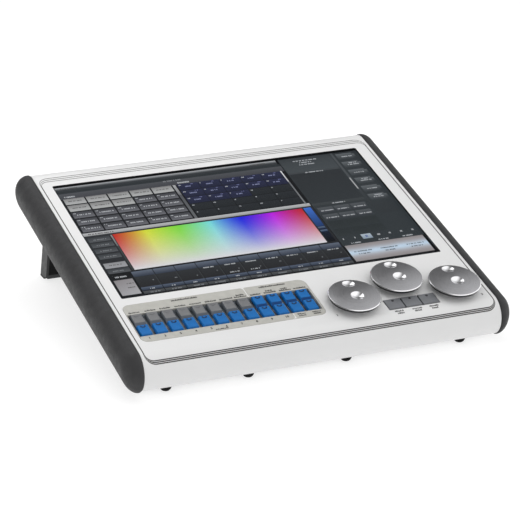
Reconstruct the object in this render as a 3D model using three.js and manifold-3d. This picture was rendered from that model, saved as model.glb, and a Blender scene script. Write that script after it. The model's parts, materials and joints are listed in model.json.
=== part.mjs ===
// A stage lighting control desk with a touch display, two rows of keys, three encoder wheels
// and a fold-out rear leg. Millimetres, +Z up, the operator sits on the -Y side.
//
// Everything on the tilted body is drawn in the panel frame: the origin is on the top surface at
// the middle of the display opening's front edge, +X to the right, +Y up the slope to the rear
// and +Z out of the panel.
import * as THREE from 'three';
import { mergeVertices } from 'three/addons/utils/BufferGeometryUtils.js';
import Module from 'manifold-3d';

const TILT = THREE.MathUtils.degToRad(13.2); // slope of the panel with the leg open
const FRONT_EDGE_HEIGHT = 71; // the display opening's front edge above the table
const GAP = 0.3; // between pieces that touch

// The body is a flat slab with two round noses, 44 thick.
const BODY = { width: 404, nose: 22, noseFrontY: -91.3, noseRearY: 242.4, wall: 2.5 };
const THICKNESS = 2 * BODY.nose;
const HOOD_END = THREE.MathUtils.degToRad(33); // the cover stops here on the rear nose
const CHEEK = { width: 18, proud: 1, roundWide: 16, roundDeep: 17 };
const PAN = { sheet: 1.6, frontY: -91, rearY: 244, wallX: 199.2, wallFrontY: -88, wallTop: -5 };
const REAR_PANEL = { y: 234, thick: 1.6, top: -3 };

const OPENING = { width: 370, depth: 223, corner: 2 };
const GLASS = { margin: 2.3, thick: 2, top: -2.8 };
const LCD = { width: 380, depth: 232, thick: 9, top: -5.1 };
const FRAME = { width: 392, depth: 240, bottom: -17, top: -5.4, window: 25 };

// Two rows of keys in a sunk well, inside a legend plate.
const KEY = { columns: 12, rows: 2, pitchX: 16.8, pitchY: 19.05, width: 12.8, depth: 18.3 };
const KEY_CAP = { top: 1, skirt: -3.2, inset: 1.3, stem: 5 };
const KEY_TRAVEL = 3;
const CLEARANCE_BELOW = 0.4; // left under a cap or a stem when it is pressed home
const WELL = { left: -189.9, right: 12.6, front: -67.2, rear: -29.1 };
const LEGEND = { left: -190.5, right: 14.5, front: -77, rear: -12, corner: 8, top: 0.2, bottom: -2 };
const BEZEL = { thick: 1.6, rim: 3.5, rimTop: -2.8, stemHole: 6.4 };
const BUTTON = { count: 3, left: 80.4, right: 140.6, front: -87.9, rear: -69.3, clearance: 0.6 };
const BOARD = { left: -195, right: 195, front: -102, rear: -13, top: -18, thick: 1.6 };
const SWITCH = { size: 12, top: -14 };

// Encoder wheels, each with a finger dimple beside its centre and one near the rim.
const WHEEL = { radius: 28.3, rim: 9.5, crown: 2.4, chamfer: 1, under: 2.2, shaft: 3, shaftEnd: -15.5 };
const WHEEL_PLACES = { wheel_left: [49.1, -65], wheel_middle: [108.6, -43.3], wheel_right: [166.7, -65.6] };
const DIMPLE = { radius: 7, depth: 2.2, places: [[1, -4.5], [1.5, 20.2]] };
const ENCODER = { size: 15, top: -6, bush: 4.6, bushTop: 1.4, bore: 3.1 };

const FOOT = { radius: 6.5, collar: 1.6, y: -92.5, x: [-168, -77, 34, 168] };
const LEG = { width: 370, sheet: 2, frontY: 222, rearY: 240, top: -57, chamferZ: -121.2, soleY: 228.6 };
const PIVOT = { y: 228, z: -51, ear: 5.5, pin: 2.9, bore: 3 };
const LUG = { outer: 181.5, inner: 175.5, half: 4.5, footRearY: 240, footThick: 2 };
const SOLE = { thick: 1.5, width: 12 };

// Sockets on the rear panel, under the hood.
const SOCKET = { z: -29.4, face: 237.5, flangeHeight: 25 };
const DMX = { width: 31, barrel: 11.6, mouth: 9.7, mouthDepth: 5, rearY: 214, x: [-92, -52] };
const INLET = { x: 150, width: 50, bodyWidth: 46, bodyHeight: 22.4, rearY: 212 };
const INLET_CAVITY = { x: -8, width: 24.6, height: 15.6, depth: 16 };
const ROCKER = { x: 14.5, width: 12, hole: 13, height: 19, depth: 12, lean: THREE.MathUtils.degToRad(8) };
const NETWORK = { x: 20, width: 16, height: 13.5, rearY: 219, cavityWidth: 11.8, cavityHeight: 8 };
const SUPPLY = { x: -140, y: 110, width: 100, depth: 100, bottom: -41, top: -19.5 };
const MAIN = { x: 30, y: 95, width: 170, depth: 150, bottom: -38, thick: 1.6 };

const wasm = await Module();
wasm.setup();

// ---- Solids -----------------------------------------------------------------------------------

function solid(geometry) {
  const plain = geometry.clone();
  plain.deleteAttribute('normal');
  plain.deleteAttribute('uv');
  const merged = mergeVertices(plain, 1e-4);
  const mesh = new wasm.Mesh({
    numProp: 3,
    vertProperties: new Float32Array(merged.attributes.position.array),
    triVerts: new Uint32Array(merged.index.array),
  });
  return new wasm.Manifold(mesh);
}

function geometryOf(manifold) {
  const mesh = manifold.getMesh();
  const geometry = new THREE.BufferGeometry();
  geometry.setAttribute('position', new THREE.BufferAttribute(mesh.vertProperties, 3));
  geometry.setIndex(new THREE.BufferAttribute(mesh.triVerts, 1));
  geometry.computeVertexNormals();
  return geometry;
}

function join(first, ...rest) {
  return geometryOf(rest.reduce((sum, part) => sum.add(solid(part)), solid(first)));
}

function cut(first, ...rest) {
  return geometryOf(rest.reduce((sum, part) => sum.subtract(solid(part)), solid(first)));
}

// A box given by its two ends along each axis.
function block([x0, x1], [y0, y1], [z0, z1]) {
  const geometry = new THREE.BoxGeometry(x1 - x0, y1 - y0, z1 - z0);
  return geometry.translate((x0 + x1) / 2, (y0 + y1) / 2, (z0 + z1) / 2);
}

// An outline in the Y-Z plane, drawn out along X from x0 to x1.
function alongX(shape, x0, x1, curveSegments = 24) {
  const geometry = new THREE.ExtrudeGeometry(shape, { depth: x1 - x0, bevelEnabled: false, curveSegments });
  return yzToPanel(geometry).translate(x0, 0, 0);
}

function yzToPanel(geometry) {
  const basis = new THREE.Matrix4().makeBasis(
    new THREE.Vector3(0, 1, 0),
    new THREE.Vector3(0, 0, 1),
    new THREE.Vector3(1, 0, 0),
  );
  return geometry.applyMatrix4(basis);
}

// An upright prism with rounded corners.
function roundedBlock([x0, x1], [y0, y1], [z0, z1], corner) {
  const shape = new THREE.Shape();
  shape.moveTo(x0 + corner, y0);
  shape.absarc(x1 - corner, y0 + corner, corner, -Math.PI / 2, 0, false);
  shape.absarc(x1 - corner, y1 - corner, corner, 0, Math.PI / 2, false);
  shape.absarc(x0 + corner, y1 - corner, corner, Math.PI / 2, Math.PI, false);
  shape.absarc(x0 + corner, y0 + corner, corner, Math.PI, Math.PI * 1.5, false);
  const geometry = new THREE.ExtrudeGeometry(shape, { depth: z1 - z0, bevelEnabled: false, curveSegments: 6 });
  return geometry.translate(0, 0, z0);
}

function cylinderZ(radius, [z0, z1], x = 0, y = 0, segments = 32) {
  const geometry = new THREE.CylinderGeometry(radius, radius, z1 - z0, segments);
  return geometry.rotateX(Math.PI / 2).translate(x, y, (z0 + z1) / 2);
}

function cylinderX(radius, [x0, x1], y, z, segments = 32) {
  const geometry = new THREE.CylinderGeometry(radius, radius, x1 - x0, segments);
  return geometry.rotateZ(Math.PI / 2).translate((x0 + x1) / 2, y, z);
}

function cylinderY(radius, [y0, y1], x, z, segments = 32) {
  return new THREE.CylinderGeometry(radius, radius, y1 - y0, segments).translate(x, (y0 + y1) / 2, z);
}

// A turned piece about Z. The profile lists [radius, height] from the bottom to the top.
function turned(profile, segments) {
  const points = profile.map(([r, z]) => new THREE.Vector2(r, z));
  return new THREE.LatheGeometry(points, segments).rotateX(Math.PI / 2);
}

// A box whose top face is smaller than its base by the inset on each side.
function tapered(width, depth, [z0, z1], inset) {
  const geometry = block([-width / 2, width / 2], [-depth / 2, depth / 2], [z0, z1]);
  const place = geometry.attributes.position;
  for (let i = 0; i < place.count; i += 1) {
    if (place.getZ(i) > (z0 + z1) / 2) {
      place.setX(i, place.getX(i) - Math.sign(place.getX(i)) * inset);
      place.setY(i, place.getY(i) - Math.sign(place.getY(i)) * inset);
    }
  }
  return geometry;
}

const FINISHES = {
  whitePaint: { color: 0xe9e9ea, roughness: 0.45, metalness: 0.1 },
  blackPaint: { color: 0x232426, roughness: 0.55, metalness: 0.1 },
  greyPaint: { color: 0x76787b, roughness: 0.5, metalness: 0.2 },
  charcoal: { color: 0x3b3b3d, roughness: 0.75, metalness: 0 },
  glass: { color: 0x101114, roughness: 0.08, metalness: 0 },
  darkPlastic: { color: 0x3a3c42, roughness: 0.6, metalness: 0 },
  legend: { color: 0xbdbdb5, roughness: 0.5, metalness: 0 },
  blueKey: { color: 0x2070be, roughness: 0.45, metalness: 0 },
  greyKey: { color: 0x6e6f72, roughness: 0.5, metalness: 0 },
  slate: { color: 0x4a5052, roughness: 0.5, metalness: 0 },
  steel: { color: 0x9a9b9d, roughness: 0.3, metalness: 1 },
  board: { color: 0x1d4a2b, roughness: 0.6, metalness: 0 },
  rubber: { color: 0x151515, roughness: 0.85, metalness: 0 },
};

function piece(name, geometry, finish, position = [0, 0, 0]) {
  const mesh = new THREE.Mesh(geometry, new THREE.MeshStandardMaterial(FINISHES[finish]));
  mesh.name = name;
  mesh.position.set(...position);
  return mesh;
}

// ---- Shell ------------------------------------------------------------------------------------

// The cover's section: a sheet bent round the front nose, along the top and over the rear nose.
function coverSection() {
  const { nose, noseFrontY, noseRearY, wall } = BODY;
  const top = Math.PI / 2;
  const section = new THREE.Shape();
  section.moveTo(noseFrontY, -THICKNESS);
  section.absarc(noseFrontY, -nose, nose, -top, top, true);
  section.absarc(noseRearY, -nose, nose, top, HOOD_END, true);
  section.absarc(noseRearY, -nose, nose - wall, HOOD_END, top, false);
  section.absarc(noseFrontY, -nose, nose - wall, top, 3 * top, false);
  return section;
}

function topCover() {
  const through = [-BODY.wall - 1, 1];
  const half = OPENING.width / 2;
  const holes = [
    roundedBlock([-half, half], [0, OPENING.depth], through, OPENING.corner),
    roundedBlock(
      [LEGEND.left - GAP, LEGEND.right + GAP],
      [LEGEND.front - GAP, LEGEND.rear + GAP],
      through,
      LEGEND.corner + GAP,
    ),
    block([BUTTON.left, BUTTON.right], [BUTTON.front, BUTTON.rear], through),
  ];
  for (const [x, y] of Object.values(WHEEL_PLACES)) {
    holes.push(cylinderZ(ENCODER.bush + GAP, through, x, y, 24));
  }
  return cut(alongX(coverSection(), -BODY.width / 2, BODY.width / 2), ...holes);
}

// A bent tray: floor, two side walls, and vent slots under the power supply and the main board.
function basePan() {
  const { sheet, frontY, rearY, wallX, wallFrontY, wallTop } = PAN;
  const floorTop = -THICKNESS + sheet;
  const floor = block([-BODY.width / 2, BODY.width / 2], [frontY, rearY], [-THICKNESS, floorTop]);
  const walls = [-1, 1].map((side) => {
    const ends = [side * wallX, side * (wallX - sheet)].sort((a, b) => a - b);
    return block(ends, [wallFrontY, REAR_PANEL.y - GAP], [-THICKNESS, wallTop]);
  });
  const slots = [];
  for (const centre of [SUPPLY.x, MAIN.x]) {
    for (let row = -3; row <= 3; row += 1) {
      const x = centre + row * 10;
      slots.push(block([x - 2, x + 2], [MAIN.y - 30, MAIN.y + 30], [-THICKNESS - 1, floorTop + 1]));
    }
  }
  return cut(join(floor, ...walls), ...slots);
}

function stadium(radius) {
  const shape = new THREE.Shape();
  shape.absarc(BODY.noseRearY, -BODY.nose, radius, -Math.PI / 2, Math.PI / 2, false);
  shape.absarc(BODY.noseFrontY, -BODY.nose, radius, Math.PI / 2, Math.PI * 1.5, false);
  return shape;
}

// A soft moulded end block, flat against the body and pillowed on its outer side.
function cheek(side) {
  const rounded = new THREE.ExtrudeGeometry(stadium(BODY.nose + CHEEK.proud), {
    depth: 2 * (CHEEK.width - CHEEK.roundWide),
    bevelThickness: CHEEK.roundWide,
    bevelSize: CHEEK.roundDeep,
    bevelOffset: -CHEEK.roundDeep,
    bevelSegments: 6,
    curveSegments: 14,
  });
  rounded.translate(0, 0, -(CHEEK.width - CHEEK.roundWide));
  const whole = yzToPanel(rounded);
  const far = side > 0 ? [-2 * CHEEK.width, 0] : [0, 2 * CHEEK.width];
  const inner = block(far, [-500, 500], [-100, 100]);
  return cut(whole, inner).translate(side * (BODY.width / 2 + GAP), 0, 0);
}

// ---- Display ----------------------------------------------------------------------------------

function plate(width, depth, top, thick) {
  const middle = OPENING.depth / 2;
  return block([-width / 2, width / 2], [middle - depth / 2, middle + depth / 2], [top - thick, top]);
}

function displayFrame() {
  const tray = plate(FRAME.width, FRAME.depth, FRAME.top, FRAME.top - FRAME.bottom);
  const pocketDepth = LCD.thick + GAP;
  const pocket = plate(LCD.width + 2 * GAP, LCD.depth + 2 * GAP, FRAME.top + 1, pocketDepth + 1);
  const window = plate(LCD.width - 2 * FRAME.window, LCD.depth - 2 * FRAME.window, FRAME.top + 1, 20);
  return cut(tray, pocket, window);
}

// ---- Keys and buttons -------------------------------------------------------------------------

function keyPlace(row, column) {
  const middleX = (WELL.left + WELL.right) / 2;
  const middleY = (WELL.front + WELL.rear) / 2;
  return [
    middleX + (column - (KEY.columns - 1) / 2) * KEY.pitchX,
    middleY + ((KEY.rows - 1) / 2 - row) * KEY.pitchY,
  ];
}

function allKeyPlaces() {
  const places = [];
  for (let row = 0; row < KEY.rows; row += 1) {
    for (let column = 0; column < KEY.columns; column += 1) places.push(keyPlace(row, column));
  }
  return places;
}

function buttonPlaces() {
  const pitch = (BUTTON.right - BUTTON.left) / BUTTON.count;
  const y = (BUTTON.front + BUTTON.rear) / 2;
  return [0, 1, 2].map((i) => [BUTTON.left + (i + 0.5) * pitch, y]);
}

function capWithStem(width, depth) {
  const cap = tapered(width, depth, [KEY_CAP.skirt, KEY_CAP.top], KEY_CAP.inset);
  const half = KEY_CAP.stem / 2;
  const stemEnd = SWITCH.top + KEY_TRAVEL + CLEARANCE_BELOW;
  return join(cap, block([-half, half], [-half, half], [stemEnd, KEY_CAP.skirt + 1]));
}

function legendPlate() {
  const { left, right, front, rear, bottom, top, corner } = LEGEND;
  const outline = roundedBlock([left, right], [front, rear], [bottom, top], corner);
  return cut(outline, block([WELL.left, WELL.right], [WELL.front, WELL.rear], [bottom - 1, top + 1]));
}

// A sunk tray under a group of caps, with a hole for each stem.
function bezel([x0, x1], [y0, y1], places) {
  const { thick, rim, rimTop, stemHole } = BEZEL;
  const top = KEY_CAP.skirt - KEY_TRAVEL - CLEARANCE_BELOW;
  const bottom = top - thick;
  const outer = block([x0 - rim, x1 + rim], [y0 - rim, y1 + rim], [bottom, rimTop]);
  const hollow = block([x0, x1], [y0, y1], [top, rimTop + 1]);
  const half = stemHole / 2;
  const holes = places.map(([x, y]) =>
    block([x - half, x + half], [y - half, y + half], [bottom - 1, top + 1]),
  );
  return cut(outer, hollow, ...holes);
}

// One circuit board carries every key and button switch.
function controlBoard() {
  const { left, right, front, rear, top, thick } = BOARD;
  const sheet = block([left, right], [front, rear], [top - thick, top]);
  const half = SWITCH.size / 2;
  const switches = [...allKeyPlaces(), ...buttonPlaces()].map(([x, y]) =>
    block([x - half, x + half], [y - half, y + half], [top - 1, SWITCH.top]),
  );
  return join(sheet, ...switches);
}

// ---- Wheels -----------------------------------------------------------------------------------

function dimpleBall(x, y, z) {
  const { radius, depth } = DIMPLE;
  const ball = (radius * radius + depth * depth) / (2 * depth);
  const sphere = new THREE.SphereGeometry(ball, 24, 20).rotateX(Math.PI / 2);
  return sphere.translate(x, y, z - depth + ball);
}

function wheel() {
  const { radius, rim, crown, chamfer, under, shaft, shaftEnd } = WHEEL;
  const edge = radius - chamfer;
  const crownAt = (r) => rim + crown * (1 - (r / edge) ** 2);
  const profile = [
    [0, shaftEnd],
    [shaft, shaftEnd],
    [shaft, under],
    [radius - 3, under],
    [radius, under + 2.5],
    [radius, rim - chamfer],
    [edge, rim],
    [edge * 0.7, crownAt(edge * 0.7)],
    [edge * 0.35, crownAt(edge * 0.35)],
    [0, crownAt(0)],
  ];
  const body = turned(profile, 40);
  return cut(body, ...DIMPLE.places.map(([x, y]) => dimpleBall(x, y, crownAt(Math.hypot(x, y)))));
}

function encoder() {
  const { size, top, bush, bushTop, bore } = ENCODER;
  const box = block([-size / 2, size / 2], [-size / 2, size / 2], [BOARD.top + GAP, top]);
  const withBush = join(box, cylinderZ(bush, [top - 1, bushTop], 0, 0, 24));
  return cut(withBush, cylinderZ(bore, [BOARD.top, bushTop + 1], 0, 0, 24));
}

// ---- Rear leg and feet ------------------------------------------------------------------------

// Height of the table in the panel frame, at a place along the slope.
function tableAt(y) {
  return (-FRONT_EDGE_HEIGHT - y * Math.sin(TILT)) / Math.cos(TILT);
}

function legSideOutline() {
  const { frontY, rearY, chamferZ, soleY } = LEG;
  const lift = (SOLE.thick + GAP) / Math.cos(TILT);
  const shape = new THREE.Shape();
  shape.moveTo(frontY, chamferZ);
  shape.lineTo(soleY, tableAt(soleY) + lift);
  shape.lineTo(rearY, tableAt(rearY) + lift);
  shape.lineTo(rearY, PIVOT.z - 4);
  shape.lineTo(PIVOT.y + PIVOT.ear, PIVOT.z);
  shape.absarc(PIVOT.y, PIVOT.z, PIVOT.ear, 0, Math.PI, false);
  shape.lineTo(frontY, LEG.top);
  return shape;
}

// The leg is one bent sheet: a wide front plate, a foot flange on the table and two side flanges.
function leg() {
  const { width, sheet, frontY, rearY, top } = LEG;
  const half = width / 2;
  const lift = (SOLE.thick + GAP) / Math.cos(TILT);
  const bend = new THREE.Shape();
  bend.moveTo(frontY, top);
  bend.lineTo(frontY, tableAt(frontY) + lift);
  bend.lineTo(rearY, tableAt(rearY) + lift);
  bend.lineTo(rearY, tableAt(rearY) + lift + sheet);
  bend.lineTo(frontY + sheet, tableAt(frontY + sheet) + lift + sheet);
  bend.lineTo(frontY + sheet, top);
  const parts = [-1, 1].flatMap((side) => {
    const flange = [side * half, side * (half - sheet)].sort((a, b) => a - b);
    const pin = [side * (half - sheet / 2), side * (LUG.inner - 1)].sort((a, b) => a - b);
    return [alongX(legSideOutline(), ...flange, 10), cylinderX(PIVOT.pin, pin, PIVOT.y, PIVOT.z, 24)];
  });
  return join(alongX(bend, -half + sheet, half - sheet), ...parts);
}

// A lug on the pan's underside that holds one of the leg's pivot pins.
function lug(side) {
  const { outer, inner, half, footRearY, footThick } = LUG;
  const under = -THICKNESS - GAP;
  const ends = [side * outer, side * inner].sort((a, b) => a - b);
  const shape = new THREE.Shape();
  shape.moveTo(PIVOT.y - half, under);
  shape.absarc(PIVOT.y, PIVOT.z, half, Math.PI, 2 * Math.PI, false);
  shape.lineTo(PIVOT.y + half, under);
  const footEnds = [side * outer, side * (inner - 8)].sort((a, b) => a - b);
  const foot = block(footEnds, [PIVOT.y - half, footRearY], [under - footThick, under]);
  const bore = cylinderX(PIVOT.bore, [ends[0] - 1, ends[1] + 1], PIVOT.y, PIVOT.z, 24);
  return cut(join(alongX(shape, ...ends, 10), foot), bore);
}

// A domed rubber foot: its axis leans with the panel and its tip is pressed flat on the table.
function frontFoot(name, x) {
  const arc = [0, 1, 2, 3, 4].map((i) => {
    const angle = (i / 4) * (Math.PI / 2);
    return [FOOT.radius * Math.sin(angle), -FOOT.radius * Math.cos(angle)];
  });
  const dome = turned([...arc, [FOOT.radius, FOOT.collar], [0, FOOT.collar]], 24).rotateX(TILT);
  const centreZ = -THICKNESS - GAP - FOOT.collar;
  const height = FRONT_EDGE_HEIGHT + FOOT.y * Math.sin(TILT) + centreZ * Math.cos(TILT);
  const forward = FOOT.y * Math.cos(TILT) - centreZ * Math.sin(TILT);
  const below = block([-20, 20], [-20, 20], [-30, -height]);
  return piece(name, cut(dome, below), 'rubber', [x, forward, height]);
}

// The strip under the leg lies level on the table.
function legPad() {
  const rear = LEG.rearY * Math.cos(TILT) - tableAt(LEG.rearY) * Math.sin(TILT);
  const half = LEG.width / 2;
  return block([-half, half], [rear - SOLE.width, rear], [0, SOLE.thick]);
}

// ---- Rear sockets and inner parts -------------------------------------------------------------

function rearPanel() {
  const { y, thick, top } = REAR_PANEL;
  const bottom = -THICKNESS + PAN.sheet + GAP;
  const sheet = block([-PAN.wallX, PAN.wallX], [y, y + thick], [bottom, top]);
  const through = [y - 1, y + thick + 1];
  const holes = DMX.x.map((x) => cylinderY(DMX.barrel + GAP, through, x, SOCKET.z));
  const opening = (x, width, height) => {
    const [w, h] = [width / 2 + GAP, height / 2 + GAP];
    return block([x - w, x + w], through, [SOCKET.z - h, SOCKET.z + h]);
  };
  holes.push(opening(INLET.x, INLET.bodyWidth, INLET.bodyHeight));
  holes.push(opening(NETWORK.x, NETWORK.width, NETWORK.height));
  return cut(sheet, ...holes);
}

// A flange on the rear panel's outer face.
function socketFlange(x, width) {
  const half = SOCKET.flangeHeight / 2;
  const start = REAR_PANEL.y + REAR_PANEL.thick + GAP;
  return block([x - width / 2, x + width / 2], [start, SOCKET.face], [SOCKET.z - half, SOCKET.z + half]);
}

function dmxSocket(x) {
  const barrel = cylinderY(DMX.barrel, [DMX.rearY, SOCKET.face], x, SOCKET.z);
  const mouth = cylinderY(DMX.mouth, [SOCKET.face - DMX.mouthDepth, SOCKET.face + 1], x, SOCKET.z);
  return cut(join(socketFlange(x, DMX.width), barrel), mouth);
}

function powerInlet() {
  const { x, width, bodyWidth, bodyHeight, rearY } = INLET;
  const [w, h] = [bodyWidth / 2, bodyHeight / 2];
  const body = block([x - w, x + w], [rearY, SOCKET.face], [SOCKET.z - h, SOCKET.z + h]);
  const pocket = (middle, wide, high, depth) =>
    block(
      [middle - wide / 2, middle + wide / 2],
      [SOCKET.face - depth, SOCKET.face + 1],
      [SOCKET.z - high / 2, SOCKET.z + high / 2],
    );
  const cavity = pocket(x + INLET_CAVITY.x, INLET_CAVITY.width, INLET_CAVITY.height, INLET_CAVITY.depth);
  const rockerHole = pocket(x + ROCKER.x, ROCKER.hole, ROCKER.height, ROCKER.depth);
  return cut(join(socketFlange(x, width), body), cavity, rockerHole);
}

// The rocker, drawn about its own pivot and then leaned to one side.
function rocker() {
  const shape = new THREE.Shape();
  shape.moveTo(-5, -3);
  shape.lineTo(1.5, -8.6);
  shape.lineTo(2.6, 0);
  shape.lineTo(1.5, 8.6);
  shape.lineTo(-5, 3);
  return alongX(shape, -ROCKER.width / 2, ROCKER.width / 2).rotateX(ROCKER.lean);
}

function networkSocket() {
  const { x, width, height, rearY, cavityWidth, cavityHeight } = NETWORK;
  const [w, h] = [width / 2, height / 2];
  const body = block([x - w, x + w], [rearY, SOCKET.face], [SOCKET.z - h, SOCKET.z + h]);
  const [cw, ch] = [cavityWidth / 2, cavityHeight / 2];
  const cavity = block([x - cw, x + cw], [rearY + 5, SOCKET.face + 1], [SOCKET.z - ch, SOCKET.z + ch]);
  return cut(body, cavity);
}

function powerSupply() {
  const { x, y, width, depth, bottom, top } = SUPPLY;
  const cage = block([x - width / 2, x + width / 2], [y - depth / 2, y + depth / 2], [bottom, top]);
  const terminals = block([x - 30, x + 30], [y + depth / 2 - 1, y + depth / 2 + 9], [bottom, bottom + 10]);
  return join(cage, terminals);
}

// The computer board stands on four posts and carries a heat sink and socket blocks.
function mainBoard() {
  const { x, y, width, depth, bottom, thick } = MAIN;
  const [w, d] = [width / 2, depth / 2];
  const sheet = block([x - w, x + w], [y - d, y + d], [bottom, bottom + thick]);
  const posts = [-1, 1].flatMap((i) => [-1, 1].map((j) =>
    cylinderZ(3, [-THICKNESS + PAN.sheet + GAP, bottom + 0.5], x + i * (w - 8), y + j * (d - 8), 12)));
  const sink = block([x - 30, x + 20], [y - 25, y + 25], [bottom + 1, -21]);
  const memory = block([x + 40, x + 50], [y - 35, y + 35], [bottom + 1, -28]);
  const connectors = block([x - 60, x + 60], [y + d - 12, y + d - 2], [bottom + 1, -27]);
  return join(sheet, ...posts, sink, memory, connectors);
}

// ---- Assembly ---------------------------------------------------------------------------------

function panelPieces() {
  const pieces = [
    piece('top_cover', topCover(), 'whitePaint'),
    piece('base_pan', basePan(), 'blackPaint'),
    piece('rear_panel', rearPanel(), 'blackPaint'),
    piece('left_cheek', cheek(-1), 'charcoal'),
    piece('right_cheek', cheek(1), 'charcoal'),
    piece('touch_glass', plate(OPENING.width + 2 * GLASS.margin, OPENING.depth + 2 * GLASS.margin,
      GLASS.top, GLASS.thick), 'glass'),
    piece('display_panel', plate(LCD.width, LCD.depth, LCD.top, LCD.thick), 'darkPlastic'),
    piece('display_frame', displayFrame(), 'greyPaint'),
    piece('legend_plate', legendPlate(), 'legend'),
    piece('key_bezel', bezel([WELL.left, WELL.right], [WELL.front, WELL.rear], allKeyPlaces()), 'darkPlastic'),
    piece('button_bezel', bezel([BUTTON.left, BUTTON.right], [BUTTON.front, BUTTON.rear], buttonPlaces()),
      'darkPlastic'),
    piece('control_board', controlBoard(), 'board'),
    piece('leg', leg(), 'greyPaint'),
    piece('leg_lug_left', lug(-1), 'blackPaint'),
    piece('leg_lug_right', lug(1), 'blackPaint'),
    piece('power_inlet', powerInlet(), 'darkPlastic'),
    piece('power_rocker', rocker(), 'rubber', [INLET.x + ROCKER.x, REAR_PANEL.y + REAR_PANEL.thick, SOCKET.z]),
    piece('network_socket', networkSocket(), 'steel'),
    piece('power_supply', powerSupply(), 'steel'),
    piece('main_board', mainBoard(), 'board'),
  ];
  DMX.x.forEach((x, i) => pieces.push(piece(`dmx_socket_${i + 1}`, dmxSocket(x), 'steel')));
  return [...pieces, ...controls()];
}

function controls() {
  const pieces = [];
  const firstBlueInTopRow = 8;
  allKeyPlaces().forEach(([x, y], i) => {
    const finish = i < firstBlueInTopRow ? 'greyKey' : 'blueKey';
    const name = `key_${String(i + 1).padStart(2, '0')}`;
    pieces.push(piece(name, capWithStem(KEY.width, KEY.depth), finish, [x, y, 0]));
  });
  const buttonWidth = (BUTTON.right - BUTTON.left) / BUTTON.count - BUTTON.clearance;
  const buttonDepth = BUTTON.rear - BUTTON.front - BUTTON.clearance;
  buttonPlaces().forEach(([x, y], i) => {
    pieces.push(piece(`button_${i + 1}`, capWithStem(buttonWidth, buttonDepth), 'slate', [x, y, 0]));
  });
  for (const [name, [x, y]] of Object.entries(WHEEL_PLACES)) {
    pieces.push(piece(name, wheel(), 'steel', [x, y, 0]));
    pieces.push(piece(name.replace('wheel', 'encoder'), encoder(), 'darkPlastic', [x, y, 0]));
  }
  return pieces;
}

function desk() {
  const panel = new THREE.Group();
  panel.rotation.x = TILT;
  panel.position.z = FRONT_EDGE_HEIGHT;
  panel.add(...panelPieces());
  const standing = new THREE.Group();
  standing.add(panel, piece('leg_pad', legPad(), 'rubber'));
  FOOT.x.forEach((x, i) => standing.add(frontFoot(`front_foot_${i + 1}`, x)));

  // Bring the middle of the whole desk's box to the origin, with the table at Z = 0.
  const root = new THREE.Group();
  root.add(standing);
  root.updateMatrixWorld(true);
  const middle = new THREE.Box3().setFromObject(standing, true).getCenter(new THREE.Vector3());
  standing.position.set(-middle.x, -middle.y, 0);
  root.updateMatrixWorld(true);
  return root;
}

export default desk();
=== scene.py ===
"""Looks of a stage lighting desk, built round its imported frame. Sizes are in millimetres.

Pieces are drawn in the panel frame of the desk: the origin is on the top surface at the middle of
the display opening's front edge, +X to the right, +Y up the slope and +Z out of the panel.
"""
import json
import math
import random

import bmesh
import bpy
from mathutils import Matrix, Vector


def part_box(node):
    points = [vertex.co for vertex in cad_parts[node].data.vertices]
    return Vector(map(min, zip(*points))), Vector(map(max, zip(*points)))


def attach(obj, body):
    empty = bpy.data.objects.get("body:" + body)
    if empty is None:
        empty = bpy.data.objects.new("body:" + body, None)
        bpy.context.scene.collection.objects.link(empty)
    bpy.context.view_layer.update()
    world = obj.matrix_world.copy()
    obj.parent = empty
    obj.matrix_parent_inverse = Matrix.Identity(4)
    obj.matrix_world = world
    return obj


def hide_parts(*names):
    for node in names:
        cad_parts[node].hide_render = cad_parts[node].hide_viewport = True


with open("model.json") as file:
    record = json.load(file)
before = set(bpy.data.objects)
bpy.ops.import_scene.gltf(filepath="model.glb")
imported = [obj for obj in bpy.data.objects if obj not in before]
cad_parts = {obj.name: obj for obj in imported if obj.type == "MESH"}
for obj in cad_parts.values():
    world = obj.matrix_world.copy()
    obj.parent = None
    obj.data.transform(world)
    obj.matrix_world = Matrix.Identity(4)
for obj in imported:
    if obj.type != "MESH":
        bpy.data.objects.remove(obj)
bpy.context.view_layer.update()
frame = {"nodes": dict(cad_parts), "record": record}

MM = 0.001
QUARTER = math.pi / 2

# ---- The panel frame, found from the touch glass ------------------------------------------------

TILT = math.radians(13.2)
GLASS_MIDDLE = Vector((0, 111.5, -3.8)) * MM         # in the panel frame


def panel_matrix():
    low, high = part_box("touch_glass")
    turn = Matrix.Rotation(TILT, 4, "X")
    return Matrix.Translation((low + high) / 2 - turn @ GLASS_MIDDLE) @ turn


PANEL = panel_matrix()

COVER = (-200.4, 203.2)                      # left and right edges of the top cover
CHEEK_WIDTHS = {-1: 17.8, 1: 16.8}           # left and right
NOSE = 22                                    # radius of both noses, half the body's thickness
NOSE_FRONT_Y = -91.3                         # middles of the noses
NOSE_REAR_Y = 242.4
WALL = 2.5                                   # of the cover
HOOD_END = math.radians(33)                  # how far round the rear nose the cover stops
OPENING = (370, 223)                         # of the display, width and depth
WELL = (-189.9, 12.6, -67.2, -29.1)          # left, right, front, rear
LEGEND = (-190.5, 14.5, -77, -12)
LEGEND_TOP = 0.2
BUTTON_WELL = (80.4, 140.6, -87.9, -69.3)
KEY_PITCH = (16.8, 19.05)
KEY_CAP = (12.8, 18.3)                       # width and depth
KEY_SLOPES = (4.2, 2.4)                      # depth of the sloping front, in the rear and front row
CAP_TOP, CAP_SKIRT = 1.0, -3.2               # heights of a cap's rear edge and of its lower rim
WHEELS = {"wheel_left": (49.1, -65), "wheel_middle": (108.6, -43.3), "wheel_right": (166.7, -65.6)}
WHEEL_RADIUS = 28.3
REAR_FACE = 237.5                            # outer face of the sockets on the rear panel
SCREW_FACE = 235.6                           # outer face of the rear panel, and the rocker's axis
ROCKER_REST = math.radians(8)                # how far the rocker leans at rest
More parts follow.
